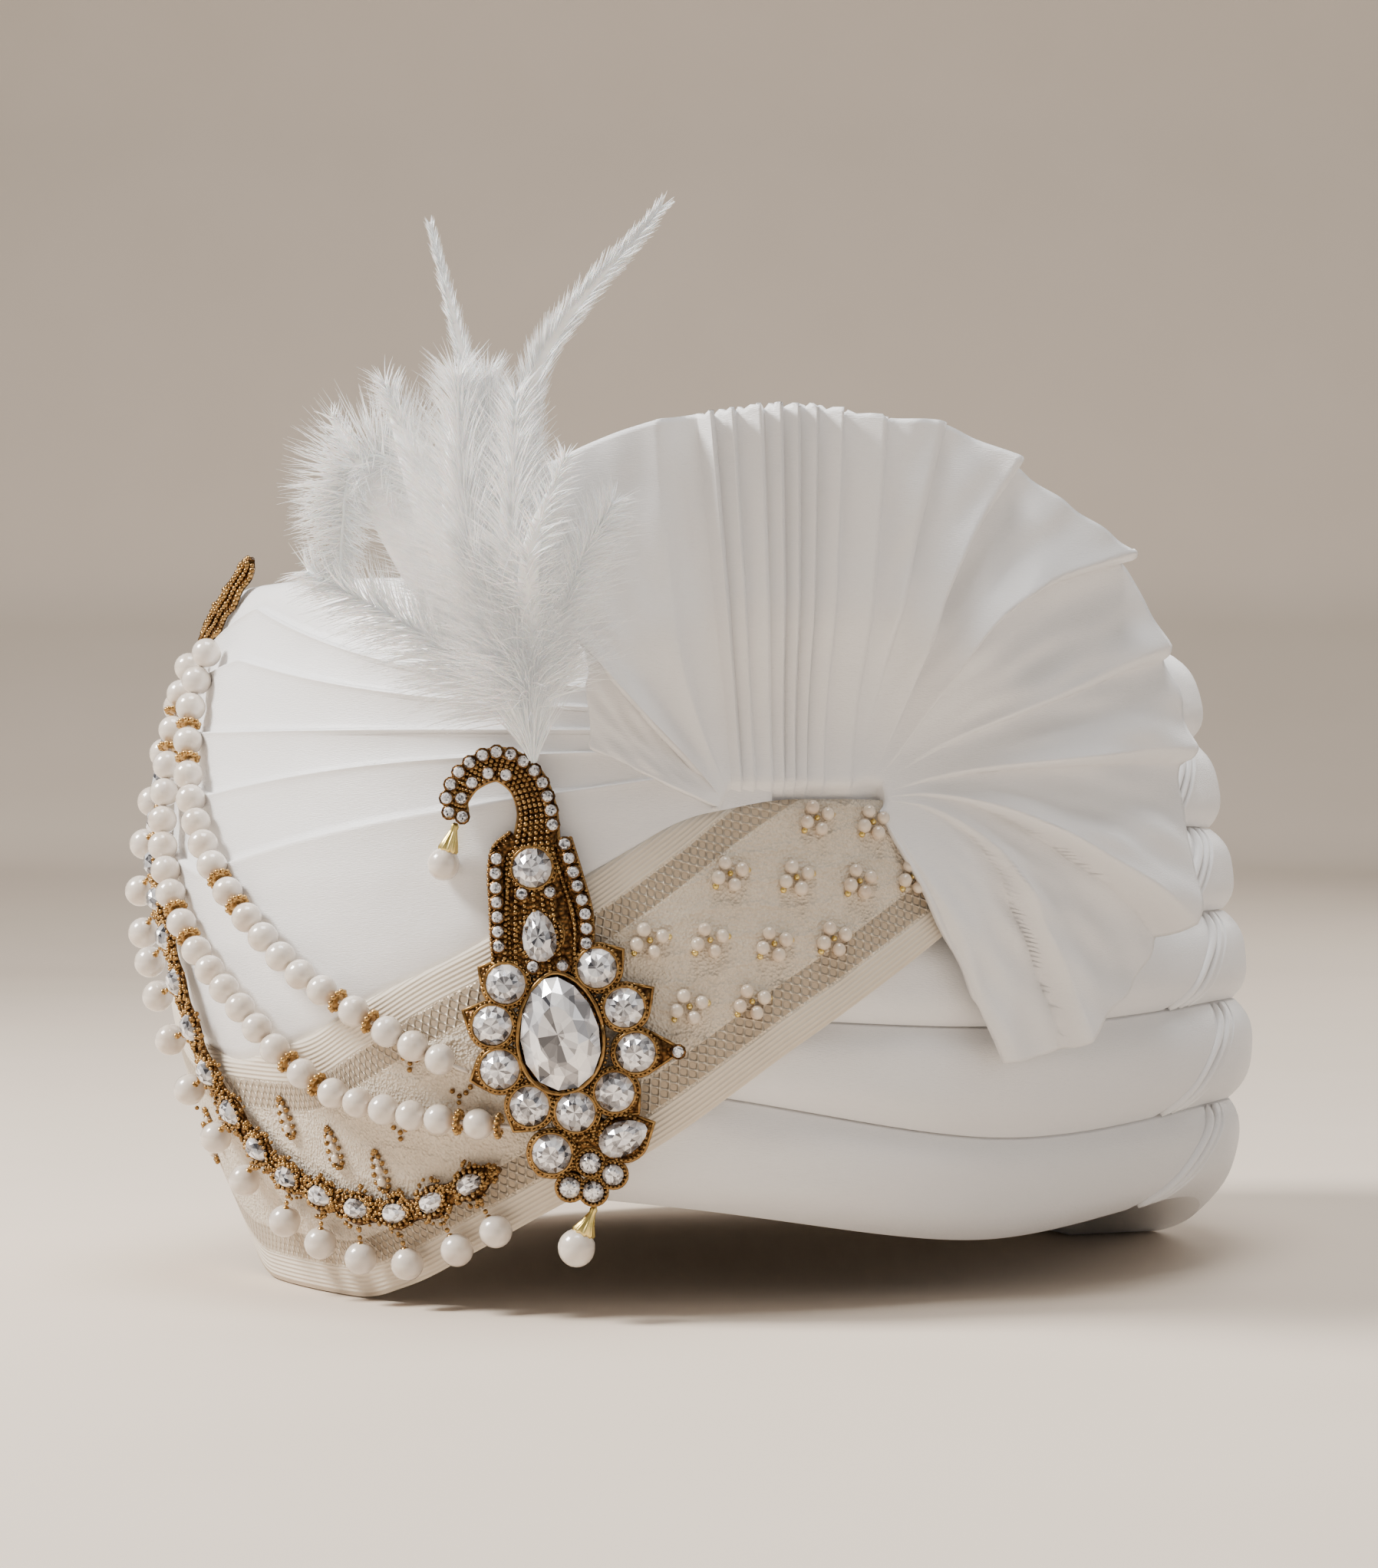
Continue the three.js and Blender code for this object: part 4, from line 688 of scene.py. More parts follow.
# %% Band surface
BAND = np.array([
    [-126, 0.925, 0.962], [-120, 0.87, 0.962], [-110, 0.79, 0.962], [-100, 0.71, 0.962],
    [-90, 0.63, 0.96], [-80, 0.548, 0.93], [-70, 0.462, 0.86], [-60, 0.372, 0.78],
    [-50, 0.268, 0.705], [-40, 0.18, 0.626], [-30, 0.105, 0.524], [-20, 0.036, 0.453],
    [-12, 0, 0.39], [0, 0, 0.345], [12, 0, 0.39], [20, 0.036, 0.453], [30, 0.105, 0.524],
    [40, 0.18, 0.626], [50, 0.268, 0.715], [60, 0.372, 0.742], [70, 0.462, 0.742],
    [80, 0.548, 0.735], [86, 0.6, 0.72],
])
LAYER_LIFT, BAND_WALL, PANEL_WALL, PLEAT_STEP = 1.8, 2.4, 2, 1.5
PANEL_FRONT = LAYER_LIFT + PANEL_WALL + PLEAT_STEP
MEAN_REACH = 124


def band_edge(column, angle):
    """Edge height: straight between the table's rows, rounded by averaging over 5 degrees."""
    spread = np.linspace(-2.5, 2.5, 11)
    at = np.asarray(angle, float)[..., None] + spread
    return np.interp(at, BAND[:, 0], BAND[:, column]).mean(-1) * BODY_HEIGHT


def band_uv(angle, height):
    """(length along the band, distance from its lower edge): with climb c, z' sin c and z' cos c."""
    dense = np.linspace(-130, 90, 441)
    low = band_edge(1, dense)
    arc = np.radians(dense) * MEAN_REACH
    slope = np.gradient(low, arc)
    slope = np.convolve(np.pad(slope, 12, mode="edge"), np.ones(25) / 25, "valid")
    run = np.concatenate([[0], np.cumsum(np.hypot(np.diff(arc), np.diff(low)))])
    run -= np.interp(0, dense, run)
    climb = np.arctan(np.interp(angle, dense, slope))
    above = height - np.interp(angle, dense, low)
    return np.stack([np.interp(angle, dense, run) + above * np.sin(climb), above * np.cos(climb)], -1)


band_angle = np.linspace(-126, 86, 320)[:, None]
band_share = np.linspace(0, 1, 41)[None]
band_z = lerp(band_edge(1, band_angle), band_edge(2, band_angle), band_share)
band_lift = LAYER_LIFT + BAND_WALL + 0.1 - 0.5 * np.abs(2 * band_share - 1) ** 14
band_points = on_body(band_angle, band_z, band_lift)
band = build("lace_ribbon", band_points.reshape(-1, 3), grid_faces(*band_z.shape),
             uv=band_uv(band_angle, band_z) / 10)
give_wall(band, 0.0019)
print("band width at 50 degrees, mm", band_uv(np.array([[50.0]]), band_z[[260], -1:])[0, 0].round(1))

# %% [markdown]
# The lace's own pattern: a plain ribbed hem, then two rows of tiny metal links side by side near each
# edge, and between them a woven field with a raised scroll. Waves of the two lengths give all of it:
# a link is a ring where both waves are near their middle.

# %% Lace finish
def lace_finish():
    """Lace: steps of the distance from the nearer edge make hem, rails and links, and the rest is field."""
    finish = Finish("cream_lace", Sheen_Weight=0.2)
    flat = finish.node("ShaderNodeUVMap", {"uv_map": "cloth"})
    run, over = finish.across(flat, "X"), finish.across(flat, "Y")
    compare = lambda value, at, within: finish.node(
        "ShaderNodeMath", {"operation": "COMPARE"}, {0: value, 1: at, 2: within})
    from_edge = finish.node("ShaderNodeMath", {"operation": "PINGPONG"}, {0: over, 1: 3.02})
    rows = compare(from_edge, 1.08, 0.32)
    links = finish.wave(run, 0.26) - finish.wave(from_edge + 0.18, 0.32)
    ring = finish.limit(1 - finish.node("ShaderNodeMath", {"operation": "ABSOLUTE"}, {0: links}) * 2.2)
    rails = compare(from_edge, 0.72, 0.035) + compare(from_edge, 1.44, 0.035)
    metal = finish.limit(rows * ring + rails * 0.6)
    hem = compare(from_edge, 0.33, 0.37)
    ribs = finish.wave(from_edge, 0.11)
    field = finish.limit(1 - rows - hem)
    grain = finish.noise(1500, 3)
    knots = finish.cells(14, flat)
    cloud = finish.noise(1.6, 3, flat)
    bend = 0.16 * finish.node("ShaderNodeMath", {"operation": "SINE"}, {0: run * 1.9})
    scroll = finish.wave(over + bend + cloud * 0.5 + run * 0.55, 0.78) ** 5 * field
    cream = finish.mix(cloud, (0.60, 0.49, 0.36), (0.72, 0.61, 0.47))
    cream = finish.mix(finish.limit(grain * 0.9 - 0.1) * field, cream, (0.78, 0.70, 0.58))
    cream = finish.mix(hem * (0.25 + 0.4 * ribs), cream, (0.80, 0.73, 0.62))
    cream = finish.mix(rows * (1 - ring) * 0.7, cream, (0.34, 0.25, 0.155))
    colour = finish.mix(metal * 0.8, cream, (0.70, 0.60, 0.46))
    height = hem * ribs * 0.35 + metal * 1.3 + scroll * 0.7 + field * (knots * 0.9 + grain * 0.5)
    return finish.set(
        Base_Color=colour,
        Metallic=metal * 0.6,
        Roughness=0.78 - metal * 0.42 - 0.15 * grain,
        Bump=(height, 0.0006),
    )


LACE = lace_finish()
dress(band, LACE, "lace", "lace_band")

# %% [markdown]
# The front panel is one piece of satin pressed into flat pleats that run together at the temples. In
# section it rises slowly to each folded edge and then steps back, so light catches the edge as a thin
# line. The heights of the edges come from a small table: at the ridge, at the temple, at the gather.

# %% Front panel
PLEATS = np.array([
    [0.63, 0.718, 0.79], [0.748, 0.797, 0.815], [0.842, 0.842, 0.84], [0.952, 0.891, 0.862],
    [1.03, 0.93, 0.884]])
PLEAT_AT, PANEL_FROM, PANEL_TO = (0, 26, 58), -71.5, 59.5
PANEL_TOP = np.array([[0, 1.06], [26, 1.05], [42, 1.0], [58, 0.965], [80, 0.955]])


def panel_points(angles):
    """Rows at each angle. Lift = base + step w^2.2 + a small lip, w the share of the way up a pleat.
    Over its last 7.5 degrees on the right the panel sinks to the roll, so no cut edge stands up."""
    away = np.abs(angles + 2)
    shallow = smoothstep(*PLEAT_AT[1:], np.abs(angles))
    step = (PLEAT_STEP + 0.5) * lerp(1, 0.25, shallow)
    base = LAYER_LIFT + PANEL_WALL - 0.2
    floor = band_edge(2, angles) - 3.0
    visible = band_edge(2, angles) + 0.5
    heights, lifts = [], []
    low = floor
    for k in range(6):
        if k < 5:
            edge = smooth_table(PLEAT_AT, PLEATS[k], away) * BODY_HEIGHT
            edge = np.maximum(edge, visible + 1.2 * (k + 1))
            shares = np.array([0, 0.12, 0.3, 0.5, 0.7, 0.85, 0.93, 0.975, 0.992, 1.0])
        else:
            edge = smooth_table(PANEL_TOP[:, 0], PANEL_TOP[:, 1], np.abs(angles)) * BODY_HEIGHT
            edge = np.maximum(edge, low + 1)
            shares = np.array([0, 0.15, 0.35, 0.6, 0.8, 0.92, 1.0])
        for w in shares:
            heights.append(lerp(low, edge, w))
            lip = 0.45 * math.exp(-((w - 0.985) / 0.012) ** 2) if k < 5 else 0
            body = step * (w ** 2.2) if k < 5 else step * 0.35 * math.sin(math.pi * w)
            lifts.append(base + body + lip * lerp(1, 0.5, shallow))
        low = edge + 0.25
    height, lift = np.stack(heights, 1), np.stack(lifts, 1)
    lift[:, 0] = np.minimum(lift[:, 0], LAYER_LIFT + 0.4)
    lift *= lerp(0.1, 1, smoothstep(PANEL_FROM, PANEL_FROM + 7.5, angles))[:, None]
    top = heights[-1]
    reach = body_radius(angles, top) + lift[:, -1]
    turned_over = ((0.8, 0.9), (2.2, 1.5), (4.0, 1.2), (6.0, -1.5), (7.0, -9.0))
    curl = [polar(angles, reach - inwards, top + up) for inwards, up in turned_over]
    wave = 0.5 * np.sin(np.radians(angles[:, None] * 3.1 + height * 2.2)) * (1 - shallow[:, None] * 0.5)
    return np.concatenate([on_body(angles[:, None], height, lift + wave * 0.5), np.stack(curl, 1)], 1)


panel_rows = panel_points(np.linspace(PANEL_FROM, PANEL_TO, 200))
panel = build("pleated_front", panel_rows.reshape(-1, 3), grid_faces(*panel_rows.shape[:2]))
give_wall(panel, 0.0012)
dress(panel, SATIN, "satin", "front_pleats")
print("panel rows", panel_rows.shape)

# %% [markdown]
# The fan is the pride of the turban: one stiffened end of the satin, gathered at a foot and opened
# like a hand fan. Narrow knife pleats stand in the middle, the front side is a smooth petal with one
# deep rib, and the back side falls in wide soft folds to a tail. It is a surface of two numbers: the
# direction from the foot, and the share of the way out to the rim.

# %% Fan
FAN_ANGLE, FAN_RADIUS, FOOT_RISE, FAN_BASE = 61.75, 92, 5, 4.5
KNIFE_FROM, KNIFE_TO, RIB_AT = 76, 105, 143.5
RIM = np.array([
    [-53, 0.935], [-49, 0.98], [-44, 1.03], [-36, 1.07], [-27, 1.15], [-18, 1.215], [-8, 1.2], [0, 1.2],
    [5, 1.215], [11, 1.2], [20, 1.16], [30, 1.13], [37, 1.075], [46, 1.03], [55, 1.015], [61, 1],
    [68, 0.995], [76, 0.957], [90, 0.957], [105, 0.957], [109, 0.962], [117, 0.97], [123, 0.974],
    [132, 0.964], [140, 0.73], [149, 0.58], [155, 0.55], [163, 0.51], [171, 0.49]])
# The lower edge of each lapped fold: its direction near the foot, half way and at the rim, its height
# in mm there, and the share of the way out at which it starts.
LAPS = np.array([
    [-50, -52, -53, 1.5, 2.0, 2.5, 0], [-10, -32, -44, 4, 9, 9, 0], [0, -14, -21, 5, 12, 11, 0],
    [10, 5, 2, 5, 10, 6, 0.02], [25, 20, 16, 2, 7, 4, 0.05], [38, 45, 31, 6, 13, 10, 0],
    [48, 58, 54, 5, 10, 9, 0], [66, 68, 67, 2, 4, 5, 0.1], [76, 76, 76, 1, 1, 1, 0]])
KNIFE_EDGES = np.array([76, 83, 87, 89.7, 92.3, 95, 99.2, 102.4, 105])


def fan_turns():
    """Directions from the foot in degrees: even steps, with close ones at each knife pleat's fold."""
    knife = [lerp(low, high, s) for low, high in zip(KNIFE_EDGES, KNIFE_EDGES[1:])
             for s in (0.0, 0.05, 0.1, 0.15, 0.25, 0.5, 0.75, 0.92)]
    return np.concatenate([np.linspace(-53, 75.6, 300), knife, np.linspace(105, 171, 130)])


def lap_edges(ring):
    """Direction and height of every lapped fold's lower edge at a share of the way out."""
    at = [np.stack([smooth_table([0.1, 0.5, 1], row[k:k + 3], ring) for row in LAPS]) for k in (0, 3)]
    return at[0], at[1] * smoothstep(LAPS[:, 6:] - 0.01, LAPS[:, 6:] + 0.45, ring)


def fan_lift(turn, ring):
    """Relief. A soft fold is a lap: from its lower edge, a rounded nose, the cloth sinks as (1 - p)^1.4
    to the next edge, p the share of the way. A knife pleat rises at once and falls evenly. The front
    petal bulges to one deep rib at 143.5 degrees, with a low edge before it. Slow waves crumple the wide
    parts."""
    turn, ring = np.broadcast_arrays(turn, ring)
    lift = np.zeros(turn.shape)
    edges, heights = lap_edges(ring[0])
    for k in range(len(LAPS) - 1):
        low, high = edges[k][None], edges[k + 1][None]
        part = (turn - low) / np.maximum(high - low, 2)
        inside = (part >= 0) & (part < 1)
        nose = np.sqrt(np.clip((turn - low) / 2.0, 0, 1))
        lift += np.where(inside, heights[k][None] * nose * (1 - np.clip(part, 0, 1)) ** 1.4, 0)
    k = np.clip(np.searchsorted(KNIFE_EDGES, turn, side="right") - 1, 0, len(KNIFE_EDGES) - 2)
    place = (turn - KNIFE_EDGES[k]) / (KNIFE_EDGES[k + 1] - KNIFE_EDGES[k])
    tooth = np.minimum(place / 0.15, (1 - place) / 0.85)
    knife = (turn > KNIFE_FROM - 0.01) & (turn < KNIFE_TO - 0.01)
    lift += np.where(knife, 4.6 * tooth * lerp(0.4, 1, ring), 0)
    part = np.clip((turn - KNIFE_TO) / (RIB_AT - KNIFE_TO), 0, 1)
    rib = np.where(turn < RIB_AT, part ** 1.8 * 10.0 + 2.0 * np.sin(math.pi * part) ** 2, 0)
    under = np.where(turn >= RIB_AT, 3.2 * np.clip((turn - 145) / 26, 0, 1) ** 0.8, 0)
    off = turn - smooth_table([0.1, 0.55, 1], [124, 114.5, 110], ring)
    edge = 4.5 * np.exp(-np.abs(off / np.where(off > 0, 9, 1.6)) ** 1.3) * (turn > 104.9)
    lift += ((rib + under) * smoothstep(0, 0.5, ring)
             + edge * smoothstep(0, 0.3, ring) * smoothstep(KNIFE_TO, KNIFE_TO + 3, turn))
    soft = 1 - smoothstep(70, 76, turn) * (1 - smoothstep(105, 110, turn))
    crumple = (np.sin(turn * 0.33 + ring * 9) * np.sin(ring * 13 + turn * 0.11)
               + 0.6 * np.sin(turn * 0.71 - ring * 6.5) + 0.5 * np.sin(turn * 0.9 + ring * 17))
    calm = 1 - 0.7 * smoothstep(105, 112, turn)
    return lift + soft * calm * crumple * 0.75 * smoothstep(0.15, 0.7, ring)


def fan_place(turn, ring, lift):
    """Foot gather to rim: along = mix of the gather and reach cos, height = mix of foot and reach sin.
    Rings below zero tuck the foot down behind the lace band's upper edge."""
    tuck = np.clip(-ring, 0, 1)
    ring = np.maximum(ring, 0)
    middle = (KNIFE_FROM + KNIFE_TO) / 2
    spread = np.clip((middle - turn) / (middle - KNIFE_FROM), -1, 1)
    cosine, sine = np.cos(np.radians(turn)), np.sin(np.radians(turn))
    reach = FAN_RADIUS * smooth_table(RIM[:, 0], RIM[:, 1], turn)
    wide = 14 * spread + 4 * cosine + 5 * (1 - smoothstep(30, 76, turn))
    swell = smoothstep(0, 45, turn) * (1 - smoothstep(50, 76, turn))
    high = 4 * sine - 4.5 - 3 * smoothstep(105, 150, turn) + 2 * swell
    along = lerp(wide, reach * cosine, ring)
    foot = np.interp(FAN_ANGLE, BAND[:, 0], BAND[:, 2]) * BODY_HEIGHT + FOOT_RISE
    height = foot + lerp(high, reach * sine, ring) - tuck * (12 + high)
    angle = FAN_ANGLE + np.degrees(along * np.where(along < 0, 0.93, 1) / HALF_WIDTH)
    near, widest = body_radius(angle, height), body_radius(angle, 0.36 * BODY_HEIGHT)
    lift = lerp(lift, 1.4, smoothstep(0, 0.4, tuck))
    return polar(angle, lerp(near, widest, smoothstep(0, 0.5, ring)) + lift, height)


fan_turn = fan_turns()[:, None]
fan_ring = np.concatenate([[-1, -0.7, -0.4, -0.2, -0.1], np.linspace(0, 0.94, 56), [0.965, 0.985, 1.0]])[None]
fan_notch = 1.2 * np.where((fan_turn > 75.9) & (fan_turn < 105), np.sin(fan_turn * 2.1) ** 2, 0)
fan_relief = fan_lift(fan_turn, np.maximum(fan_ring, 0))
fan_points = fan_place(fan_turn, np.where(fan_ring > 0, fan_ring * (1 - fan_notch / FAN_RADIUS), fan_ring),
                       FAN_BASE + 1.2 + fan_relief)
fan = build("satin_fan", fan_points.reshape(-1, 3), grid_faces(*fan_points.shape[:2])[:, ::-1],
            uv=np.stack(np.broadcast_arrays(fan_turn / 60, fan_ring), -1))
give_wall(fan, 0.0016)
dress(fan, SATIN, "satin", "fan")
print("fan points", fan_points.shape)

# %% [markdown]
# The strings. Two strings of pearls hang in front from the gold piece at the top of the ridge to the
# brooch, with small gold rings between groups of pearls. A string lies on the cloth, so its path is a
# short list of angles and heights that a smooth curve joins, lifted by half a pearl. Walking along the
# path bead by bead gives the places: each bead starts where the last one ended.

# %% Paths on the cloth
def cloth_path(stops, lift, steps=900):
    """Smooth curve through (angle, height share) stops, centripetal, lifted off the envelope."""
    stops = np.asarray(stops, float)
    knots = run_along(stops, 0.5)
    at = np.linspace(0, knots[-1], steps)
    angle = smooth_table(knots, stops[:, 0], at)
    height = smooth_table(knots, stops[:, 1], at) * BODY_HEIGHT
    return on_body(angle, height, lift)


def frames_along(path, distances):
    """Places on a path and, at each, three directions: along it, across the cloth, out from the cloth."""
    run = run_along(path)
    read = lambda where: np.stack([np.interp(where, run, path[:, k]) for k in range(3)], -1)
    at = read(distances)
    along = unit(read(distances + 0.8) - read(distances - 0.8))
    away = unit(at * [1, 1, 0])
    across = unit(np.cross(away, along))
    out = np.cross(along, across)
    return at, np.stack([along, across, out], -1)


UPPER_STOPS = [[-8.4, 0.985], [-8.8, 0.91], [-5.6, 0.803], [-2.5, 0.727], [2, 0.648], [8.5, 0.561],
               [13.5, 0.497], [18.8, 0.448], [23.5, 0.407], [27.4, 0.377], [31.2, 0.352]]
LOWER_STOPS = [[-15, 0.965], [-13.6, 0.87], [-11.5, 0.779], [-9.8, 0.694], [-5.8, 0.6], [-0.5, 0.515],
               [6, 0.433], [10.5, 0.37], [15.5, 0.321], [22, 0.295], [29.4, 0.282], [35.6, 0.276]]
GARLAND_STOPS = [[-21.5, 0.95], [-19.8, 0.83], [-17.5, 0.74], [-14.2, 0.64], [-8.5, 0.53], [-5.5, 0.41],
                 [-3.4, 0.32], [2.5, 0.207], [8.8, 0.162], [15, 0.142], [20.8, 0.142], [26, 0.17],
                 [32.3, 0.214]]
CONNECTOR_STOPS = [[-18, 0.985], [-14.5, 1.01], [-11, 1.05], [-8, 1.11]]
PEARL, RING_WIDTH, RING_SIZE = 7.4, 2.6, 6.6
rng = np.random.default_rng(7)


def bead_ring(count=11, bead=1.5, size=RING_SIZE):
    """Gold spacer: a circle of small beads about the thread, each bead a ball on the circle."""
    points, faces = ball(5, 6)
    turn = around(count)
    places = np.stack([0 * turn, np.cos(turn), np.sin(turn)], -1) * (size - bead) / 2
    beads = repeat(points, faces, places, upright(count), bead)
    core, core_faces = ball(6, 10)
    return joined(beads, (core * [1.1, size - bead * 1.2, size - bead * 1.2], core_faces))


def string_pieces(name, node, stops, pattern, settle):
    """A string: pearls as one piece that stands for the solid, and its gold rings as another."""
    path = cloth_path(stops, PANEL_FRONT + 0.3 + PEARL / 2 - settle)
    length = run_along(path)[-1]
    kinds, starts, used, i = [], [], 0.0, 0
    while used < length:
        kinds.append(pattern[i % len(pattern)])
        width = PEARL if kinds[-1] == "P" else RING_WIDTH
        starts.append(used + width / 2)
        used += width
        i += 1
    kinds, starts = np.array(kinds)[:-1], np.array(starts)[:-1]
    at, frames = frames_along(path, starts)
    pearls = kinds == "P"
    points, faces = ball(12, 20)
    sizes = (PEARL + 0.08) * rng.uniform(0.985, 1.015, (pearls.sum(), 1))
    thread = tube_along(path[::12], 0.55, 6)
    pearl_part = repeat(points, faces, at[pearls], frames[pearls], sizes)
    dress(build(f"{name}_pearls", *joined(pearl_part, thread)), PEARL_SKIN, "pearl", node)
    ring_points, ring_faces = bead_ring()
    ring_part = repeat(ring_points, ring_faces, at[~pearls], frames[~pearls])
    dress(build(f"{name}_gold_rings", *ring_part), BRIGHT_GOLD, "gold")
    print(name, "pearls", int(pearls.sum()), "rings", int((~pearls).sum()), "length, mm", round(length))


string_pieces("upper_string", "pearl_strand_upper", UPPER_STOPS, "PPPRPRPPPPPRPRPPPPPRPRPP", 0.8)
string_pieces("lower_string", "pearl_strand_lower", LOWER_STOPS, "PPRPRPPPPPPRPRPPPPPPRPRPPP", 0.4)

# %% [markdown]
# Cut stones. A stone is a short stack of rings: the girdle, a ring of breaks turned by half a step, and
# a flat table. Faces between them are left flat, and each keeps one random number that the finish
# turns into its own grey, a painted reflection nearly black to white, as facets over a silver back show.

# %% Cut stones
def brilliant(sides=12, table=0.52, height=0.42, outline=None):
    """Stone one across: girdle, lower girdle, breaks and table, joined by flat triangles."""
    turn = around(sides)
    half = turn + math.pi / sides
    edge = outline if outline is not None else (lambda t: np.stack([np.cos(t), np.sin(t)], -1) / 2)
    rings = [(edge(turn), -0.1), (edge(turn), 0.03), (edge(half) * lerp(1, table, 0.52), height * 0.68),
             (edge(turn) * table, height)]
    points = np.concatenate([lifted(flat, up) for flat, up in rings]
                            + [[[0, 0, height], [0, 0, -0.1]]])
    ring, nxt = np.arange(sides), (np.arange(sides) + 1) % sides
    wall = np.stack([ring, nxt, sides + nxt, sides + ring], 1)
    a, b, c = sides, 2 * sides, 3 * sides
    faces = [wall, np.concatenate([
        np.stack([a + ring, a + nxt, b + ring], 1), np.stack([b + ring, a + nxt, b + nxt], 1),
        np.stack([b + ring, c + nxt, c + ring], 1), np.stack([b + ring, b + nxt, c + nxt], 1),
        np.stack([np.full(sides, 4 * sides), c + ring, c + nxt], 1),
        np.stack([np.full(sides, 4 * sides + 1), nxt, ring], 1)])]
    return points, faces


def drop_edge(narrow=0.22):
    """Outline of a drop with its tip up, one wide: x = cos t (1 - n (1 + sin t) / 2) / 2, y = sin t / 2."""
    return lambda t: np.stack([
        np.cos(t) * (1 - narrow * (1 + np.sin(t)) / 2) / 2 * (1 - 0.16 * np.clip(np.sin(t), 0, 1) ** 6),
        np.sin(t) / 2], -1)


def set_painted_glints(piece, seed):
    """One random number for each face, kept as the attribute that the stone finish paints as a reflection's
    grey.
    """
    glint = piece.data.attributes.new("glint", "FLOAT", "FACE")
    draws = np.random.default_rng(seed).random(len(piece.data.polygons))
    glint.data.foreach_set("value", draws.astype(np.float32))
    return piece


# %% [markdown]
# The garland is a narrow ribbon of gold wire and tiny gold beads. Drop-shaped stones sit on it 12 mm
# apart, and a pearl hangs from each by four small beads. The wire work is so fine that only its sparkle
# counts, so it is 1500 small beads strewn evenly over the ribbon.

# %% Garland
GARLAND_BASE, GARLAND_PITCH, GARLAND_HALF, GARLAND_STONE = PANEL_FRONT + 0.9, 12, 3.4, (5.6, 7.4, 5.0)
CLAW_COUNT, CLAW_SIZE, CLAW_OUTLINE = 16, 1.1, (6.9, 8.7)
DROP_PEARL, DROP_REACH, LEVEL_SLOPE = 8.0, 12.5, 0.15
garland_path = cloth_path(GARLAND_STOPS, GARLAND_BASE)
garland_length = run_along(garland_path)[-1]
seat_count = int(garland_length // GARLAND_PITCH)
margin = (garland_length - (seat_count - 1) * GARLAND_PITCH) / 2
seats = margin + GARLAND_PITCH * np.arange(seat_count)
seat_at, seat_frames = frames_along(garland_path, seats)


def garland_width(run, swing):
    """Share of the ribbon's width: 1 + swing cos(2 pi d / pitch), d the way from a stone; ends rounded."""
    wave = 1 + swing * np.cos((run - margin) * 2 * math.pi / GARLAND_PITCH)
    return wave * np.sqrt(np.clip(np.minimum(run, garland_length - run) / 6, 0.04, 1))


strip_run = np.linspace(0, garland_length, 160)
strip_at, strip_frames = frames_along(garland_path, strip_run)
strip_turn = around(10)
strip_side = np.cos(strip_turn)[None, :, None] * strip_frames[:, None, :, 1] * GARLAND_HALF
strip_ring = (strip_side * garland_width(strip_run, 0.22)[:, None, None]
              + (np.sin(strip_turn)[None, :, None] * 0.8 + 1.0) * strip_frames[:, None, :, 2])
ribbon = build("garland_filigree", *closed_tube(strip_at[:, None] + strip_ring))
dress(ribbon, OLD_GOLD, "gold", "stone_garland")

bead_count = 1500
bead_run = rng.uniform(0, garland_length, bead_count)
bead_at, bead_frames = frames_along(garland_path, bead_run)
bead_side = rng.uniform(-1, 1, bead_count)
bead_out = 1.0 + 1.1 * np.sqrt(1 - 0.8 * bead_side ** 2) * rng.uniform(0.5, 1.2, bead_count)
bead_at = (bead_at + bead_frames[:, :, 1] * (bead_side * 4.6 * garland_width(bead_run, 0.3))[:, None]
           + bead_frames[:, :, 2] * bead_out[:, None])
garland_beads = repeat(*ball(4, 6), bead_at, bead_frames, rng.uniform(0.8, 1.5, (bead_count, 1)))
dress(build("garland_beads", *garland_beads), GRAIN_GOLD, "gold")

garland_stone = brilliant(10, outline=drop_edge(0.3))
stone_turn = np.stack([-seat_frames[:, :, 1], seat_frames[:, :, 0], seat_frames[:, :, 2]], -1)
garland_stones = build("garland_stones", *repeat(
    *garland_stone, seat_at + seat_frames[:, :, 2] * 2.1, stone_turn,
    np.tile([GARLAND_STONE], (seat_count, 1))), smooth=False)
dress(set_painted_glints(garland_stones, 3), STONE, "stone")

claw_places = lifted(drop_edge(0.3)(around(CLAW_COUNT)) * CLAW_OUTLINE, 0)
claws = np.einsum("mij,nj->mni", stone_turn, claw_places) + (seat_at + seat_frames[:, :, 2] * 2.2)[:, None]
collets = repeat(*ball(4, 6), claws.reshape(-1, 3), np.repeat(stone_turn, CLAW_COUNT, 0), CLAW_SIZE)
dress(build("garland_collets", *collets), BRIGHT_GOLD, "gold")


def hang_places(reach, drop):
    """Centre of each hanging pearl: reach mm from the garland towards its lower side, on the cloth."""
    side = seat_frames[:, :, 1] * np.where(seat_frames[:, 2, 1] > 0, -1, 1)[:, None]
    level = np.abs(seat_frames[:, 2, 1]) <= LEVEL_SLOPE
    side[level] = np.cross(seat_frames[:, :, 0], seat_frames[:, :, 2])[level]
    spot = seat_at + side * reach
    angle = np.degrees(np.arctan2(spot[:, 0], -spot[:, 1]))
    height = np.maximum(spot[:, 2], drop / 2 + 0.3)
    return on_body(angle, height, GARLAND_BASE + drop / 2)


hang_at = hang_places(DROP_REACH, DROP_PEARL)
dress(build("garland_pearls", *repeat(*ball(12, 20), hang_at, upright(seat_count), DROP_PEARL)),
      PEARL_SKIN, "pearl")
LINK_BEADS = np.array([[1.3], [1.1], [1.3], [2.0]])
links = []
for start, end in zip(seat_at + seat_frames[:, :, 2] * 1.2, hang_at):
    way = unit(end - start)
    spots = start + way * np.linspace(3.8, np.linalg.norm(end - start) - 3.4, 4)[:, None]
    links.append(repeat(*ball(5, 8), spots, upright(4), LINK_BEADS))
dress(build("garland_links", *joined(*links)), BRIGHT_GOLD, "gold")
print("garland seats", seat_count, "length, mm", round(garland_length))

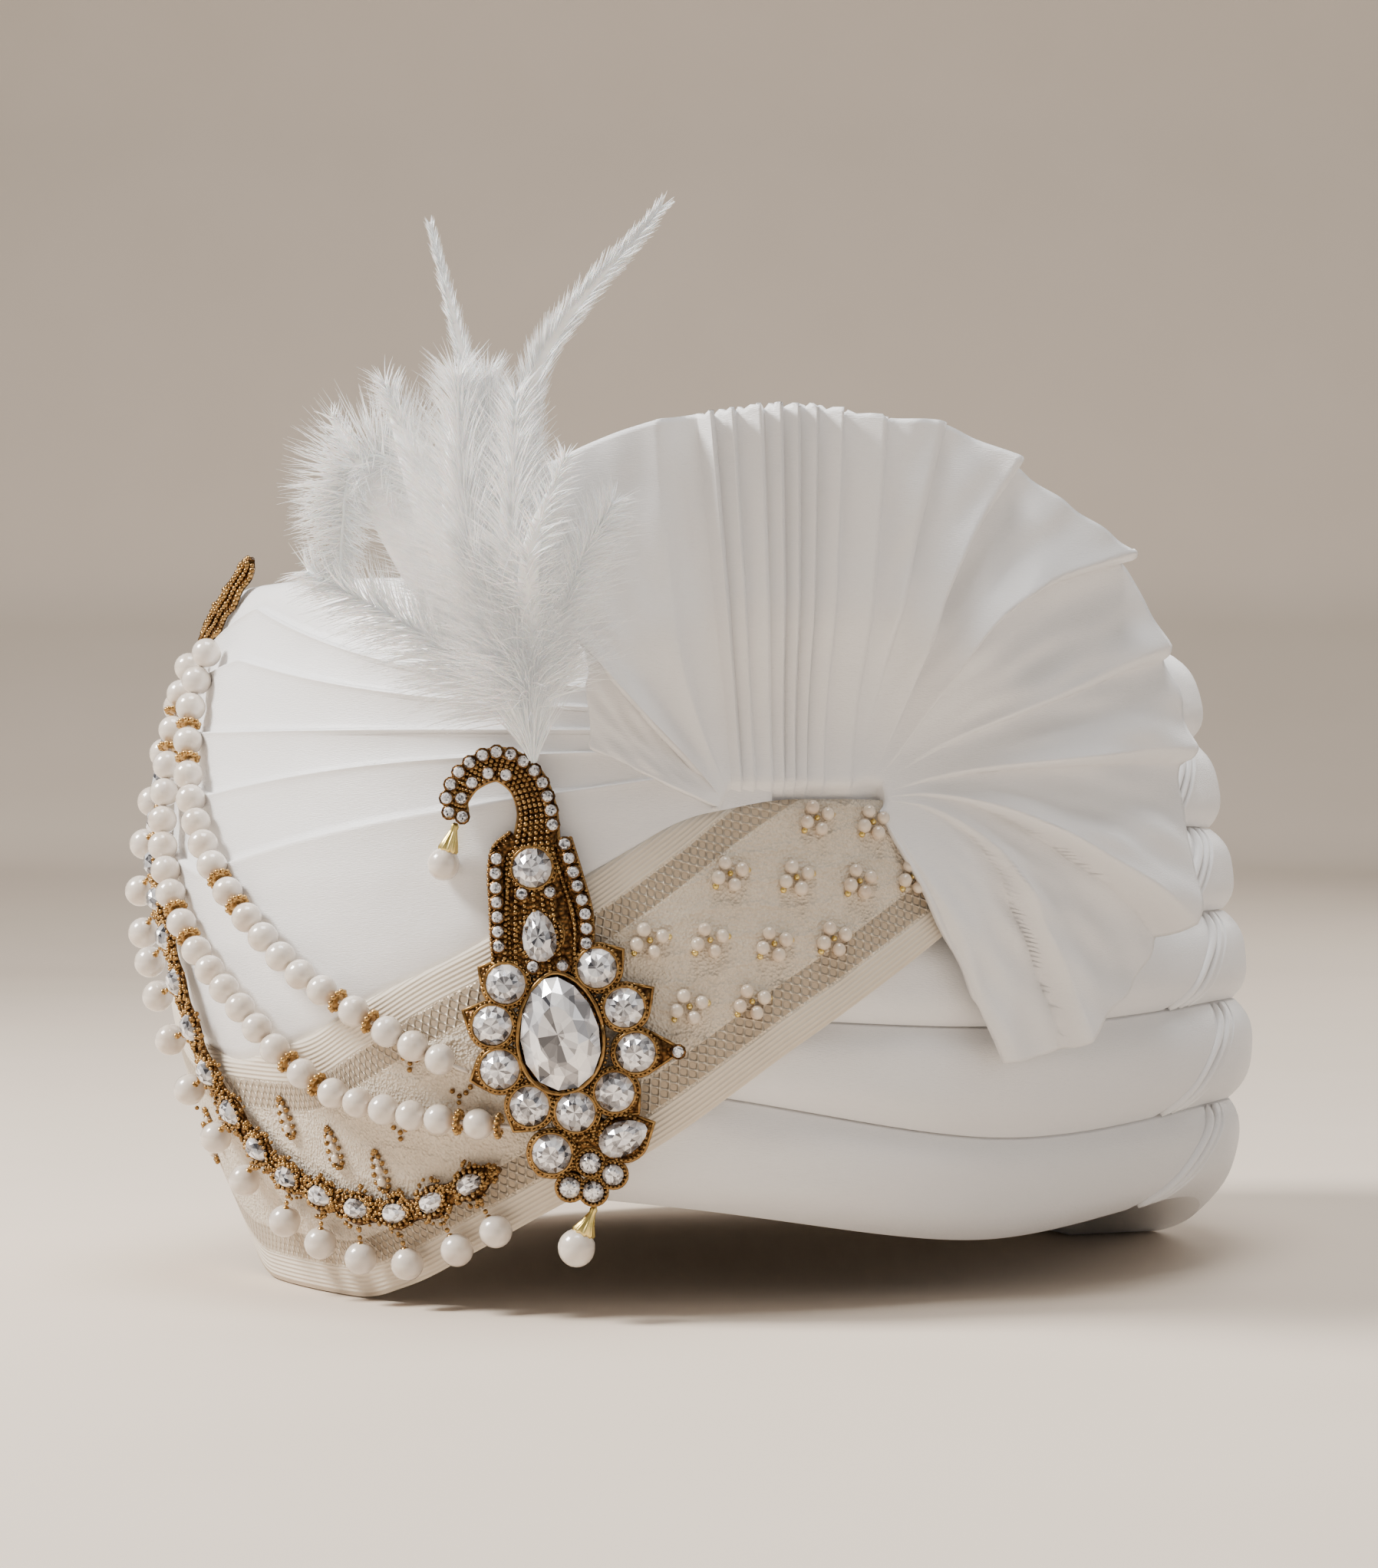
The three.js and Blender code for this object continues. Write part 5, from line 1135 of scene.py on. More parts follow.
# %% [markdown]
# The kalgi, the brooch of the turban, is a flat plate of old gold bent a little to the head. It has its
# own plane: across, up and out from the middle of the main stone. Every part is drawn flat there and
# laid on the turban by one function, which also bends it.

# %% Brooch plane
BROOCH_TURN = math.radians(52)
BROOCH_ACROSS = np.array([math.cos(BROOCH_TURN), math.sin(BROOCH_TURN), 0])
BROOCH_OUT = np.array([math.sin(BROOCH_TURN), -math.cos(BROOCH_TURN), 0])
BROOCH_AT = on_body(38.5, 68.0) + 5.1 * BROOCH_OUT
BROOCH_SPAN, BROOCH_RISE, PLATE, STONE_SEAT = 52, 104, 2.2, 2.8
RING_STONE, SMALL_STONE, MAIN_STONE, BEZEL = 9.4, 5.0, (20.8, 26.8), 1.0
PETALS = np.array([
    [-0.244, 0.11, -0.369, 0.146], [-0.304, 0.017, -0.44, 0.049], [-0.271, -0.082, -0.405, -0.108],
    [-0.138, -0.164, -0.212, -0.222], [0.069, -0.176, 0.087, -0.242], [0.246, -0.131, 0.352, -0.18],
    [0.34, -0.042, 0.554, -0.036], [0.29, 0.058, 0.417, 0.102], [0.167, 0.146, 0.283, 0.187],
    [-0.094, 0.217, -0.115, 0.3], [-0.127, 0.37, -0.13, 0.43], [-0.04, -0.271, -0.1, -0.32],
    [0.283, -0.234, 0.421, -0.2]]) * [BROOCH_SPAN, BROOCH_RISE, BROOCH_SPAN, BROOCH_RISE]
DROP_STONES, DROP_STONE_LENGTH, WEB_AT, WEB_REACH = (9, 12), 12.2, (5.5, -26), 7.2
CLUSTER = np.array([
    [0.133, -0.292], [0.235, -0.318], [0.04, -0.348], [0.145, -0.357]]) * [BROOCH_SPAN, BROOCH_RISE]
HOOK = [[-0.09, 0.13, 0.4], [-0.11, 0.25, 0.34], [-0.12, 0.34, 0.28], [-0.11, 0.43, 0.21],
        [-0.11, 0.5, 0.175], [-0.165, 0.567, 0.165], [-0.285, 0.602, 0.15], [-0.412, 0.575, 0.13],
        [-0.475, 0.525, 0.11], [-0.462, 0.482, 0.085]]
LEFT_ARM = [[-0.26, 0.14, 0.085], [-0.275, 0.27, 0.085], [-0.275, 0.4, 0.085], [-0.2, 0.435, 0.085]]
RIGHT_ARM = [[0.105, 0.15, 0.085], [0.102, 0.26, 0.085], [0.05, 0.35, 0.095], [0, 0.43, 0.095]]


def on_brooch(points, bent=True):
    """Plane to turban: centre + x across + y up + (z - fall) out, fall = 5 (2 above) times (2y / rise)^2."""
    x, y, z = np.moveaxis(np.asarray(points, float), -1, 0)
    fall = np.where(y < 0, 5.0, 2.0) * (2 * y / BROOCH_RISE) ** 2 if bent else 0.0
    return (BROOCH_AT + x[..., None] * BROOCH_ACROSS + y[..., None] * np.array([0.0, 0, 1])
            + (z - fall)[..., None] * BROOCH_OUT)


def lay(part, bent=True):
    """A (points, faces) part moved from the brooch's plane to the turban."""
    return on_brooch(part[0], bent), part[1]


def flat_slab(outline, height, inset=0.88):
    """Closed slab under a flat outline: wall, a chamfer to the inset outline, and a top."""
    middle = outline.mean(0)
    rings = [(1.0, 0.0), (1.0, height * 0.7), (inset, height)]
    return closed_tube(np.stack([lifted(middle + (outline - middle) * size, up) for size, up in rings]))


def petal_outline(x, y, tip_x, tip_y, radius=RING_STONE / 2 + BEZEL, corners=30):
    """Circle about (x, y) drawn out to a tip: an arc that stops short of the tip on both sides."""
    to_tip, reach = math.atan2(tip_y - y, tip_x - x), math.hypot(tip_x - x, tip_y - y)
    shoulder = math.acos(min(1.0, radius / reach)) * 0.9
    turn = np.linspace(to_tip + shoulder, to_tip - shoulder + 2 * math.pi, corners)
    arc = np.stack([x + radius * np.cos(turn), y + radius * np.sin(turn)], -1)
    tip = np.array([tip_x, tip_y])
    return np.concatenate([arc, lerp(arc[-1], tip, 0.5)[None], tip[None], lerp(tip, arc[0], 0.5)[None]])


def strip_path(rows, steps=90):
    """Smooth middle line of a strip, with its width: x, y, width in mm."""
    rows = np.asarray(rows) * [BROOCH_SPAN, BROOCH_RISE, BROOCH_SPAN]
    knots = run_along(rows[:, :2])
    at = np.linspace(0, knots[-1], steps)
    return np.stack([smooth_table(knots, rows[:, k], at) for k in range(3)], -1)


def beside(path, share):
    """Line beside a strip's middle, at a share of its half width, to the left of its run."""
    run = unit(np.gradient(path[:, :2], axis=0))
    return path[:, :2] + np.stack([-run[:, 1], run[:, 0]], -1) * path[:, 2:] * share / 2


def stepped(line, pitch):
    """Even steps of a pitch along a flat line."""
    run = run_along(line)
    at = np.arange(pitch / 2, run[-1], pitch)
    return np.stack([np.interp(at, run, line[:, 0]), np.interp(at, run, line[:, 1])], -1)


def strip_slab(path):
    """Closed strip with rounded shoulders: its section's corners across, and up in plate thicknesses."""
    section = [(-1, 0), (-1, 0.7), (-0.8, 1.0), (0, 1.12), (0.8, 1.0), (1, 0.7), (1, 0)]
    return closed_tube(np.stack([lifted(beside(path, across), up * PLATE) for across, up in section], 1))


def wire(outline, radius, lift, closed=True):
    """Round wire on a flat line, closed on itself if asked."""
    line = np.concatenate([outline, outline[:1]]) if closed else outline
    path = lifted(line, lift)
    return tube_along(path, radius, 6, outward=np.tile([[0.0, 0, 1]], (len(path), 1)))


# %% [markdown]
# The metal comes in three layers, as the goldsmith builds it: dark plates cut to petals and strips, a
# bright wire on every edge, and rows of tiny granules soldered on. The granules are what makes the old
# gold glitter, so each is a real ball, and they stay small and cheap.

# %% Brooch metal
TILT = math.radians(9)
tilted = np.array([[math.cos(TILT), -math.sin(TILT)], [math.sin(TILT), math.cos(TILT)]])
main_outline = drop_edge(0.22)(around(36)) @ tilted.T
circle = lambda x, y, radius, count: np.stack([
    x + radius * np.cos(around(count)), y + radius * np.sin(around(count))], -1)
hook_path, left_path, right_path = strip_path(HOOK), strip_path(LEFT_ARM, 50), strip_path(RIGHT_ARM, 50)
strips = (hook_path, left_path, right_path)

main_bed = main_outline * (np.array(MAIN_STONE) + 2 * BEZEL)
petal_lines = [petal_outline(*row) for row in PETALS]
plates = ([flat_slab(main_bed, PLATE), flat_slab(circle(*WEB_AT, 7.5, 30), PLATE)]
          + [flat_slab(line, PLATE, 0.93) for line in petal_lines]
          + [flat_slab(circle(x, y, SMALL_STONE / 2 + BEZEL, 20), PLATE) for x, y in CLUSTER]
          + [strip_slab(path) for path in strips])
dress(build("brooch_plates", *lay(joined(*plates))), OLD_GOLD, "gold", "brooch_frame")

wires = ([wire(main_bed * 0.985, 0.6, 2.9)]
         + [wire(line, 0.42, 1.9) for line in petal_lines]
         + [wire(circle(x, y, 4.9, 30), 0.36, 3.0)
            for i, (x, y) in enumerate(PETALS[:, :2]) if i not in DROP_STONES]
         + [wire(circle(x, y, SMALL_STONE / 2 + 0.8, 20), 0.4, 2.2) for x, y in CLUSTER]
         + [wire(beside(path, side), 0.42, 1.7, False) for path in strips for side in (-0.97, 0.97)])
dress(build("brooch_wires", *lay(joined(*wires))), GRAIN_GOLD, "gold")

granules = [(stepped(beside(hook_path, share), 1.3), 1.25, 2.75)
            for share in (-0.5, -0.24, 0.02, 0.28, 0.54, 0.8)]
granules += [(stepped(beside(path, share), 1.15), 1.1, 2.5)
             for path in (left_path, right_path) for share in (-0.95, 0.95)]
granules += [(circle(x, y, 5.3, 30), 1.0, 2.75) for x, y in PETALS[:, :2]]
granules += [(stepped(main_bed * 1.075, 1.1), 0.95, 2.5)]
granules += [(circle(x, y, SMALL_STONE / 2 + 0.45, 18), 0.75, 3.0) for x, y in CLUSTER]
web = rng.uniform(-1, 1, (130, 2)) * WEB_REACH + WEB_AT
granules += [(web[np.linalg.norm(web - WEB_AT, axis=1) < WEB_REACH], 1.05, 2.4)]
grain_at = np.concatenate([lifted(flat, lift) for flat, _, lift in granules])
grain_size = np.concatenate([np.full(len(flat), size) for flat, size, _ in granules])
grain_size = grain_size * rng.uniform(0.85, 1.12, len(grain_size))
granule_part = repeat(*ball(4, 7), grain_at, upright(len(grain_at)), grain_size[:, None])
dress(build("brooch_granules", *lay(granule_part)), GRAIN_GOLD, "gold")
print("brooch granules", len(grain_at))

# %% [markdown]
# The stones. A large pear in the middle, thirteen round or drop-shaped ones about it, four small ones
# below, and rows of tiny ones along the arms and the hook. The drops and the pear are the same form as
# the round ones, drawn on another outline and turned to their petal's tip.

# %% Brooch stones
def turned(angle):
    """Turn in the brooch's plane, as a 3 by 3 frame."""
    c, s = math.cos(angle), math.sin(angle)
    return np.array([[c, -s, 0], [s, c, 0], [0, 0, 1.0]])


main_cut = brilliant(14, 0.5, 0.24, drop_edge(0.22))
main_part = repeat(*main_cut, [[0, 0, STONE_SEAT + 0.6]], turned(TILT)[None], np.array([[*MAIN_STONE, 21.0]]))
main_stone = build("main_stone", *lay(main_part), smooth=False)
dress(set_painted_glints(main_stone, 12), LARGE_STONE, "stone", "brooch_main_stone")

tips = np.arctan2(PETALS[:, 3] - PETALS[:, 1], PETALS[:, 2] - PETALS[:, 0]) - math.pi / 2
is_drop = np.isin(np.arange(len(PETALS)), DROP_STONES)
round_at = np.concatenate([PETALS[~is_drop, :2], CLUSTER])
round_size = np.concatenate([np.full((~is_drop).sum(), RING_STONE), np.full(len(CLUSTER), SMALL_STONE)])
round_part = repeat(*brilliant(14, 0.42, 0.34), lifted(round_at, STONE_SEAT), upright(len(round_at)),
                    np.stack([round_size, round_size, round_size], -1))
drop_frames = np.stack([turned(a) for a in tips[is_drop]])
drop_part = repeat(*brilliant(14, 0.42, 0.34, drop_edge(0.3)), lifted(PETALS[is_drop, :2], STONE_SEAT),
                   drop_frames, np.tile([[RING_STONE, DROP_STONE_LENGTH, RING_STONE]], (is_drop.sum(), 1)))
small_stones = build("brooch_stones", *lay(joined(round_part, drop_part)), smooth=False)
dress(set_painted_glints(small_stones, 5), STONE, "stone", *[f"brooch_stone_{k}" for k in range(1, 18)])

CHIP_WIDTH, CHIP_SEAT, CHIP_PITCH = 3.1, 2.9, 3.4
above = lambda line, low, high=99: line[(line[:, 1] > low) & (line[:, 1] < high)]
chips = np.concatenate([
    stepped(above(beside(right_path, -0.3), 19, 44.5), CHIP_PITCH),
    stepped(above(beside(hook_path, -0.74), 46), CHIP_PITCH),
    stepped(above(beside(left_path, 0.2), 18, 42), CHIP_PITCH),
    stepped(above(beside(hook_path[60:], 0.45), 49.0), CHIP_PITCH + 1),
    [[-6.3, 15.4], [0.6, 15.8], [-9.0, 32.4], [-2.4, 32.8], [27.6, -4.2]]])
chip_at = lifted(chips, CHIP_SEAT)
chip_size = np.full((len(chips), 3), CHIP_WIDTH)
chip_part = repeat(*brilliant(8, 0.5, 0.4), chip_at, upright(len(chips)), chip_size)
chip_stones = build("brooch_chips", *lay(chip_part), smooth=False)
dress(set_painted_glints(chip_stones, 8), CHIP_STONE, "stone")
cup_ring = lambda radius, up: lifted(circle(0, 0, radius, 10), up)
cup = closed_tube(np.stack([cup_ring(0.5, -0.3), cup_ring(0.6, 0.06), cup_ring(0.52, 0.14)]))
cup_part = repeat(*cup, chip_at, upright(len(chips)), chip_size * 1.02)
dress(build("brooch_cups", *lay(cup_part)), OLD_GOLD, "gold")
print("brooch chips", len(chips))

# %% [markdown]
# Two pearl drops hang from the kalgi, one from the end of its hook and one from its foot. Each is a
# ribbed gold cap, turned on a lathe in real life, and a pearl below it.

# %% Pearl drops
def pearl_drop(label, node, x, y, lean, pearl, cap_width):
    """Cap: radius r(d) (1 + 0.1 cos 9t), d the way down from the loop. The pearl starts 5.9 mm down, and
    both lean by the same angle."""
    low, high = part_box(node)
    middle = np.array([(low.x + high.x) * 500, (low.y + high.y) * 500, 0]) - AXIS
    out = float((middle - BROOCH_AT) @ BROOCH_OUT)
    down = np.array([math.sin(math.radians(lean)), -math.cos(math.radians(lean)), 0])
    side = np.array([-down[1], down[0], 0])
    start = np.array([x, y, out])
    turn = around(36)
    rows = [(-0.4, 0.5), (0.4, 0.9), (1.2, 0.75), (2.0, 1.0), (4.0, 1.7), (6.0, cap_width / 2),
            (6.8, cap_width / 2 - 0.2)]
    ribs = 1 + 0.1 * np.cos(9 * turn)
    cap = np.stack([start + down * d + (np.cos(turn)[:, None] * side + np.sin(turn)[:, None] * [0, 0, 1])
                    * r * ribs[:, None] for d, r in rows])
    dress(build(f"{label}_drop_cap", *lay(closed_tube(cap), False)), YELLOW_GOLD, "gold", node)
    body = repeat(*ball(16, 24), [start + down * (5.9 + pearl / 2)], upright(1),
                  np.array([[pearl, pearl * 1.04, pearl]]))
    dress(build(f"{label}_drop_pearl", *lay(body, False)), PEARL_SKIN, "pearl")


pearl_drop("hook", "brooch_hook_drop", -24.9, 48.5, -17, 7.6, 4.6)
pearl_drop("foot", "brooch_lower_drop", 7.54, -41.2, -24, 8.8, 5.4)

# %% [markdown]
# The plume. A tied bunch of marabou: each feather is a quill with hundreds of fine soft barbs on both
# sides. Two long ones stand up, one droops in a curl, and the short ones make the body. The quill is a
# smooth line; a barb leaves it at an angle, bends outward and tapers to nothing. All barbs of a feather
# are made at once, as one array of thin three-sided tubes. Down passes light from barb to barb, and its
# finish has a faint glow that stands for what a few bounces of light leave out.

# %% Plume
PLUME_AT, PLUME_RISE = np.array([-6.24, 71.97, -3.8]), 118
LOCKS = np.array([
    [-0.1, 0.6, -0.19, 0.975, 0.1, 0.15], [0.02, 0.68, 0.265, 1, 0.1, 0.17],
    [-0.11, 0.35, -0.13, 0.66, 0.27, 0.19], [-0.02, 0.34, -0.01, 0.62, 0.15, 0.25],
    [-0.17, 0.38, -0.28, 0.66, 0.25, 0.13],
    [-0.23, 0.33, -0.39, 0.6, 0.22, 0.11], [-0.3, 0.52, -0.4, 0.34, 0.13, 0.12],
    [-0.22, 0.18, -0.44, 0.3, 0.19, 0.1], [0.02, 0.32, 0.09, 0.5, 0.11, 0.3]])


def through(stops, steps=80):
    """Smooth line through a few places in the plane's three directions."""
    stops = np.asarray(stops, float)
    knots = run_along(stops, 0.7)
    at = np.linspace(0, knots[-1], steps)
    return np.stack([smooth_table(knots, stops[:, k], at) for k in range(3)], -1)


def lock_quill(row):
    """Quill of a lock: root, half way to its middle, middle, end, in shares of the plume's rise."""
    mid_x, mid_y, end_x, end_y, _, out = row
    stops = np.array([
        [0, 0, 0], [mid_x / 2, mid_y / 2, out / 2], [mid_x, mid_y, out], [end_x, end_y, out * 1.15]])
    return through(PLUME_AT + stops * PLUME_RISE)


def lock_core(row):
    """Soft middle of a lock, so that no light comes through: an oval tube that swells and tapers."""
    quill = lock_quill(row)
    t = np.linspace(0, 1, len(quill))
    share = 0.3 if row[3] > 0.9 else 0.4
    half = np.maximum(row[4] * PLUME_RISE / 2 * np.sin(math.pi * lerp(0.04, 0.97, t)) * share, 0.3)
    run = unit(np.gradient(quill, axis=0))
    side = unit(np.cross(run, [0, 0, 1.0]))
    over = np.cross(side, run)
    turn = around(12)
    ring = (np.cos(turn)[None, :, None] * side[:, None] + 0.35 * np.sin(turn)[None, :, None] * over[:, None])
    return closed_tube(quill[:, None] + ring * half[:, None, None])


def barbs(quill, count, reach, angle, fluff, start=0.0, end=1.0, bend=0.3, thick=0.26, sides=(-1, 1), seed=0):
    """Barbs of one feather. From the quill at t, barb(s) = s L (cos a run + sin a side) + s^2 L bend,
    its radius thick (1 - s)^0.8; fluff tells how far the sides turn out of the plane."""
    draw = np.random.default_rng(seed)
    t = np.sort(draw.uniform(start, end, count))
    index = t * (len(quill) - 1)
    steps = np.arange(len(quill))
    pick = lambda table: np.stack([np.interp(index, steps, table[:, k]) for k in range(3)], -1)
    run_table = unit(np.gradient(quill, axis=0))
    base, run = pick(quill), unit(pick(run_table))
    side = unit(np.cross(run, [0, 0, 1.0]))
    out = np.cross(side, run)
    sign = draw.choice(sides, count)[:, None]
    tilt = (draw.normal(0, 1, count) * fluff)[:, None]
    away = unit(side * sign * np.cos(tilt) + out * np.sin(tilt))
    lean = np.radians(angle * draw.uniform(0.6, 1.4, count))[:, None]
    way = run * np.cos(lean) + away * np.sin(lean)
    taper = (1 - 0.65 * np.clip((t - start) / (end - start), 0, 1) ** 2)[:, None]
    length = reach * draw.uniform(0.7, 1.15, count)[:, None] * taper
    curve = unit(away + draw.normal(0, 0.35, (count, 3))) * bend
    s = np.linspace(0, 1, 6)[None, :, None]
    line = base[:, None] + length[:, None] * (s * way[:, None] + s ** 2 * curve[:, None])
    wander = np.sin(s * 5 + draw.uniform(0, 6, (count, 1, 1))) * s * 0.035
    line = line + wander * length[:, None] * out[:, None]
    first = unit(np.cross(way, away + 0.01))
    second = np.cross(way, first)
    turn = around(3)[None, None, :, None]
    ring = np.cos(turn) * first[:, None, None] + np.sin(turn) * second[:, None, None]
    points = line[:, :, None] + ring * (thick * np.clip(1 - s, 0.06, 1) ** 0.8)[:, :, None]
    faces = grid_faces(6, 3, around_cols=True)[:, ::-1]
    ends = np.array([[0, 1, 2], [17, 16, 15]])
    step = 18 * np.arange(count)[:, None, None]
    return points.reshape(-1, 3), [(faces[None] + step).reshape(-1, 4), (ends[None] + step).reshape(-1, 3)]


quills = [lock_quill(row) for row in LOCKS]
curl = through([[-12, 98, 6], [-24, 117, 9], [-34, 129.5, 10.5], [-42.5, 134, 11], [-48, 129.5, 11],
                [-49.8, 117, 10.5], [-50.6, 104, 9.5]])
core = joined(*[lock_core(row) for row in LOCKS[[0, 1, 2, 3, 4, 5, 8]]])
dress(build("plume_core", *lay(core, False)), DOWN, "feather", "plume")
hackle = through([[-10, 84, 2], [-12, 112, 12], [-14, 134, 17], [-15.4, 150, 18]])
fan_side = through([[-4, 80, 0], [2, 98, 14], [8, 112, 20], [14, 122, 22]])
body_down = joined(
    barbs(quills[2], 1500, 27, 24, 0.9, 0.02, seed=21), barbs(quills[3], 1000, 22, 24, 0.9, 0.02, seed=22),
    barbs(quills[4], 1000, 18, 24, 0.8, 0.02, seed=23), barbs(quills[5], 650, 14, 26, 0.6, 0.03, seed=24),
    barbs(hackle, 1300, 22, 20, 0.9, 0.0, seed=26), barbs(quills[8], 500, 14, 34, 0.8, 0.1, seed=25))
root_down = through([[-6.5, 61, -1.2], [-7.2, 70, 1.5], [-8.6, 84, 6]])
tuft = joined(
    barbs(quills[2], 700, 24, 12, 1.2, 0.1, 0.8, 0.15, seed=27),
    barbs(root_down, 1000, 21, 15, 0.8, 0.0, bend=0.22, seed=37),
    barbs(through([[-6, 74, -1], [-8, 84, 5], [-11, 96, 10]]), 1300, 24, 38, 0.9, 0.0, bend=0.4, seed=28),
    barbs(through([[-8, 78, 4], [-14, 98, 12], [-19, 118, 16]]), 1200, 24, 17, 1.2, 0.0, bend=0.2, seed=29),
    barbs(through([[-6, 78, 4], [-5, 98, 14], [-6, 118, 20]]), 1000, 22, 17, 1.2, 0.0, bend=0.2, seed=30))
dress(build("plume_tuft", *lay(tuft, False)), DOWN, "feather")
dress(build("plume_down", *lay(body_down, False)), DOWN, "feather")
long_feathers = joined(
    barbs(quills[0], 1000, 9, 15, 0.2, 0.3, 0.99, 0.04, thick=0.3, seed=31),
    barbs(quills[1], 1300, 12, 17, 0.2, 0.3, 0.99, 0.04, thick=0.3, seed=32),
    barbs(curl, 560, 11, 58, 0.2, 0.3, 1.0, 0.12, thick=0.26, sides=(-1,), seed=33),
    barbs(curl, 620, 18, 72, 0.2, 0.25, 1.0, 0.1, thick=0.24, sides=(1,), seed=34),
    barbs(quills[7], 700, 19, 30, 0.5, 0.02, seed=35), barbs(fan_side, 600, 17, 32, 0.8, 0.0, seed=36),
    tube_along(curl, 0.45, 6, np.tile([[0.0, 0, 1]], (80, 1))))
dress(build("plume_long_feathers", *lay(long_feathers, False)), DOWN, "feather")
print("plume points", len(body_down[0]) + len(long_feathers[0]))

# %% [markdown]
# The gold piece where the strings end, at the top of the ridge, is a small leaf-shaped plate covered
# with beads. It is made like the garland: a strip along a path, and beads on it.

# %% Gold piece at the top
leaf_path = cloth_path(CONNECTOR_STOPS, PANEL_FRONT + 0.6)
leaf_length = run_along(leaf_path)[-1]
leaf_run = np.linspace(0, leaf_length, 60)
leaf_at, leaf_frames = frames_along(leaf_path, leaf_run)
leaf_half = 4.0 * (0.86 - 0.14 * np.cos(leaf_run / leaf_length * 8 * math.pi)) * np.sqrt(np.clip(
    1 - np.abs(2 * leaf_run / leaf_length - 1) ** 5, 0.08, 1))
leaf_section = [(-1, 0.1), (-0.9, 0.5), (-0.45, 0.9), (0, 1.05), (0.45, 0.9), (0.9, 0.5), (1, 0.1), (0, 0)]
leaf = closed_tube(np.stack([leaf_at + leaf_frames[:, :, 1] * (across * leaf_half)[:, None]
                             + leaf_frames[:, :, 2] * (up * 2.0) for across, up in leaf_section], 1))
dress(build("top_gold_leaf", *leaf), OLD_GOLD, "gold", "strand_connector")
bead_rows, bead_shares = range(1, 59, 2), (-1.0, -0.5, 0, 0.5, 1.0)
edge_beads = [leaf_at[k] + leaf_frames[k, :, 1] * side * leaf_half[k] + leaf_frames[k, :, 2] * 1.1
              for k in bead_rows for side in bead_shares]
edge_out = np.repeat(leaf_frames[1:59:2, :, 2], len(bead_shares), 0)
edge_lift = np.tile([0, 0.9, 1.3, 0.9, 0], len(bead_rows))[:, None] * edge_out
leaf_beads = repeat(*ball(4, 7), np.array(edge_beads) + edge_lift, upright(len(edge_beads)),
                    rng.uniform(1.0, 1.9, (len(edge_beads), 1)))
dress(build("top_leaf_beads", *leaf_beads), GRAIN_GOLD, "gold")

# %% [markdown]
# The cap inside is what the head meets. It is sewn of cotton gores, with a stitched tape round its
# edge, and it stays visible from above and from below.

# %% Cap
cap_angle = np.linspace(0, 360, 120, endpoint=False)[:, None]
CAP_EDGE_RISE, TAPE_TOP = 3, 26


def cap_skin(wall, shares, tape):
    """Rings from the rim to the crown: cap radius at each height, a shallow groove at each of 8 seams
    and, where tape is 1, a tape 0.7 mm thick over the rim."""
    top, rim = CAP_TOP - wall, line_height(0, cap_angle) + CAP_EDGE_RISE
    dome = CAP_SPRING + (top - CAP_SPRING) * np.sin((shares - 0.6) / 0.4 * math.pi / 2)
    height = np.minimum(np.where(shares < 0.6, lerp(rim, CAP_SPRING, shares / 0.6), dome), top - 0.02)
    radius = cap_radius(cap_angle, height, wall)
    seam = 0.5 * np.exp(-((np.mod(cap_angle + 22.5, 45) - 22.5) / 0.7) ** 2)
    edge = tape * (smoothstep(0.5, 2, height - rim) - smoothstep(TAPE_TOP, TAPE_TOP + 1, height - rim))
    way = 1 if wall == 0 else -1
    return polar(cap_angle, radius - way * (seam * (height - rim > TAPE_TOP + 1) - edge * 0.7), height)


cap_shares = np.linspace(0, 0.998, 60)[None]
outer_skin, inner_skin = cap_skin(0, cap_shares, 0), cap_skin(CAP_WALL, cap_shares, 1)[:, ::-1]
skins = np.concatenate([inner_skin, outer_skin], 1).transpose(1, 0, 2)
cap_points, cap_faces = closed_tube(skins)
dress(build("cotton_cap", cap_points, cap_faces), COTTON, "cap", "crown")

# %% [markdown]
# On the lace itself sit groups of four small pearls about a gold bead, and, over the garland, small
# drop-shaped motifs of gold and pearl beads. They were read from the picture as angles and heights on
# the left. The right side repeats those that fall inside the band's field there, and a few more groups
# follow the band as it climbs to its end.

# %% Beads on the lace
BAND_LIFT = LAYER_LIFT + BAND_WALL
CLUSTERS = [
    [64.5, 118], [71.2, 117], [55, 105], [62, 104], [69.2, 103], [75.8, 104], [47.2, 89.5], [53, 89.5],
    [59.5, 88.5], [66, 89.5], [51, 74], [57.2, 75]]
RIGHT_ROWS = [
    [-84, 118], [-90, 133], [-82, 133], [-97, 126], [-103, 141], [-95, 147], [-110, 134], [-109, 148],
    [-117, 144]]
FIELD_FROM, FIELD_TO = 19, 42
MOTIFS = [[6.8, 44.5], [12.8, 38], [18.2, 33]]
MARKS = [[21.8, 43], [24.2, 60], [28.8, 52.5]]


def spots_about(places, offsets, lift):
    """Places on the band, each with the same small offsets: sideways mm over the radius, and up mm."""
    places, offsets = np.asarray(places, float), np.asarray(offsets, float)
    angle = places[:, None, 0] + np.degrees(offsets[None, :, 0] / MEAN_REACH)
    return on_body(angle, places[:, None, 1] + offsets[None, :, 1], BAND_LIFT + lift).reshape(-1, 3)


def scatter(label, spots, size, finish, slot, shape=(6, 9)):
    """A ball at each spot."""
    sizes = np.broadcast_to(np.asarray(size, float), (len(spots),))[:, None]
    sizes = sizes * rng.uniform(0.93, 1.05, (len(spots), 1))
    return dress(build(label, *repeat(*ball(*shape), spots, upright(len(spots)), sizes)), finish, slot)


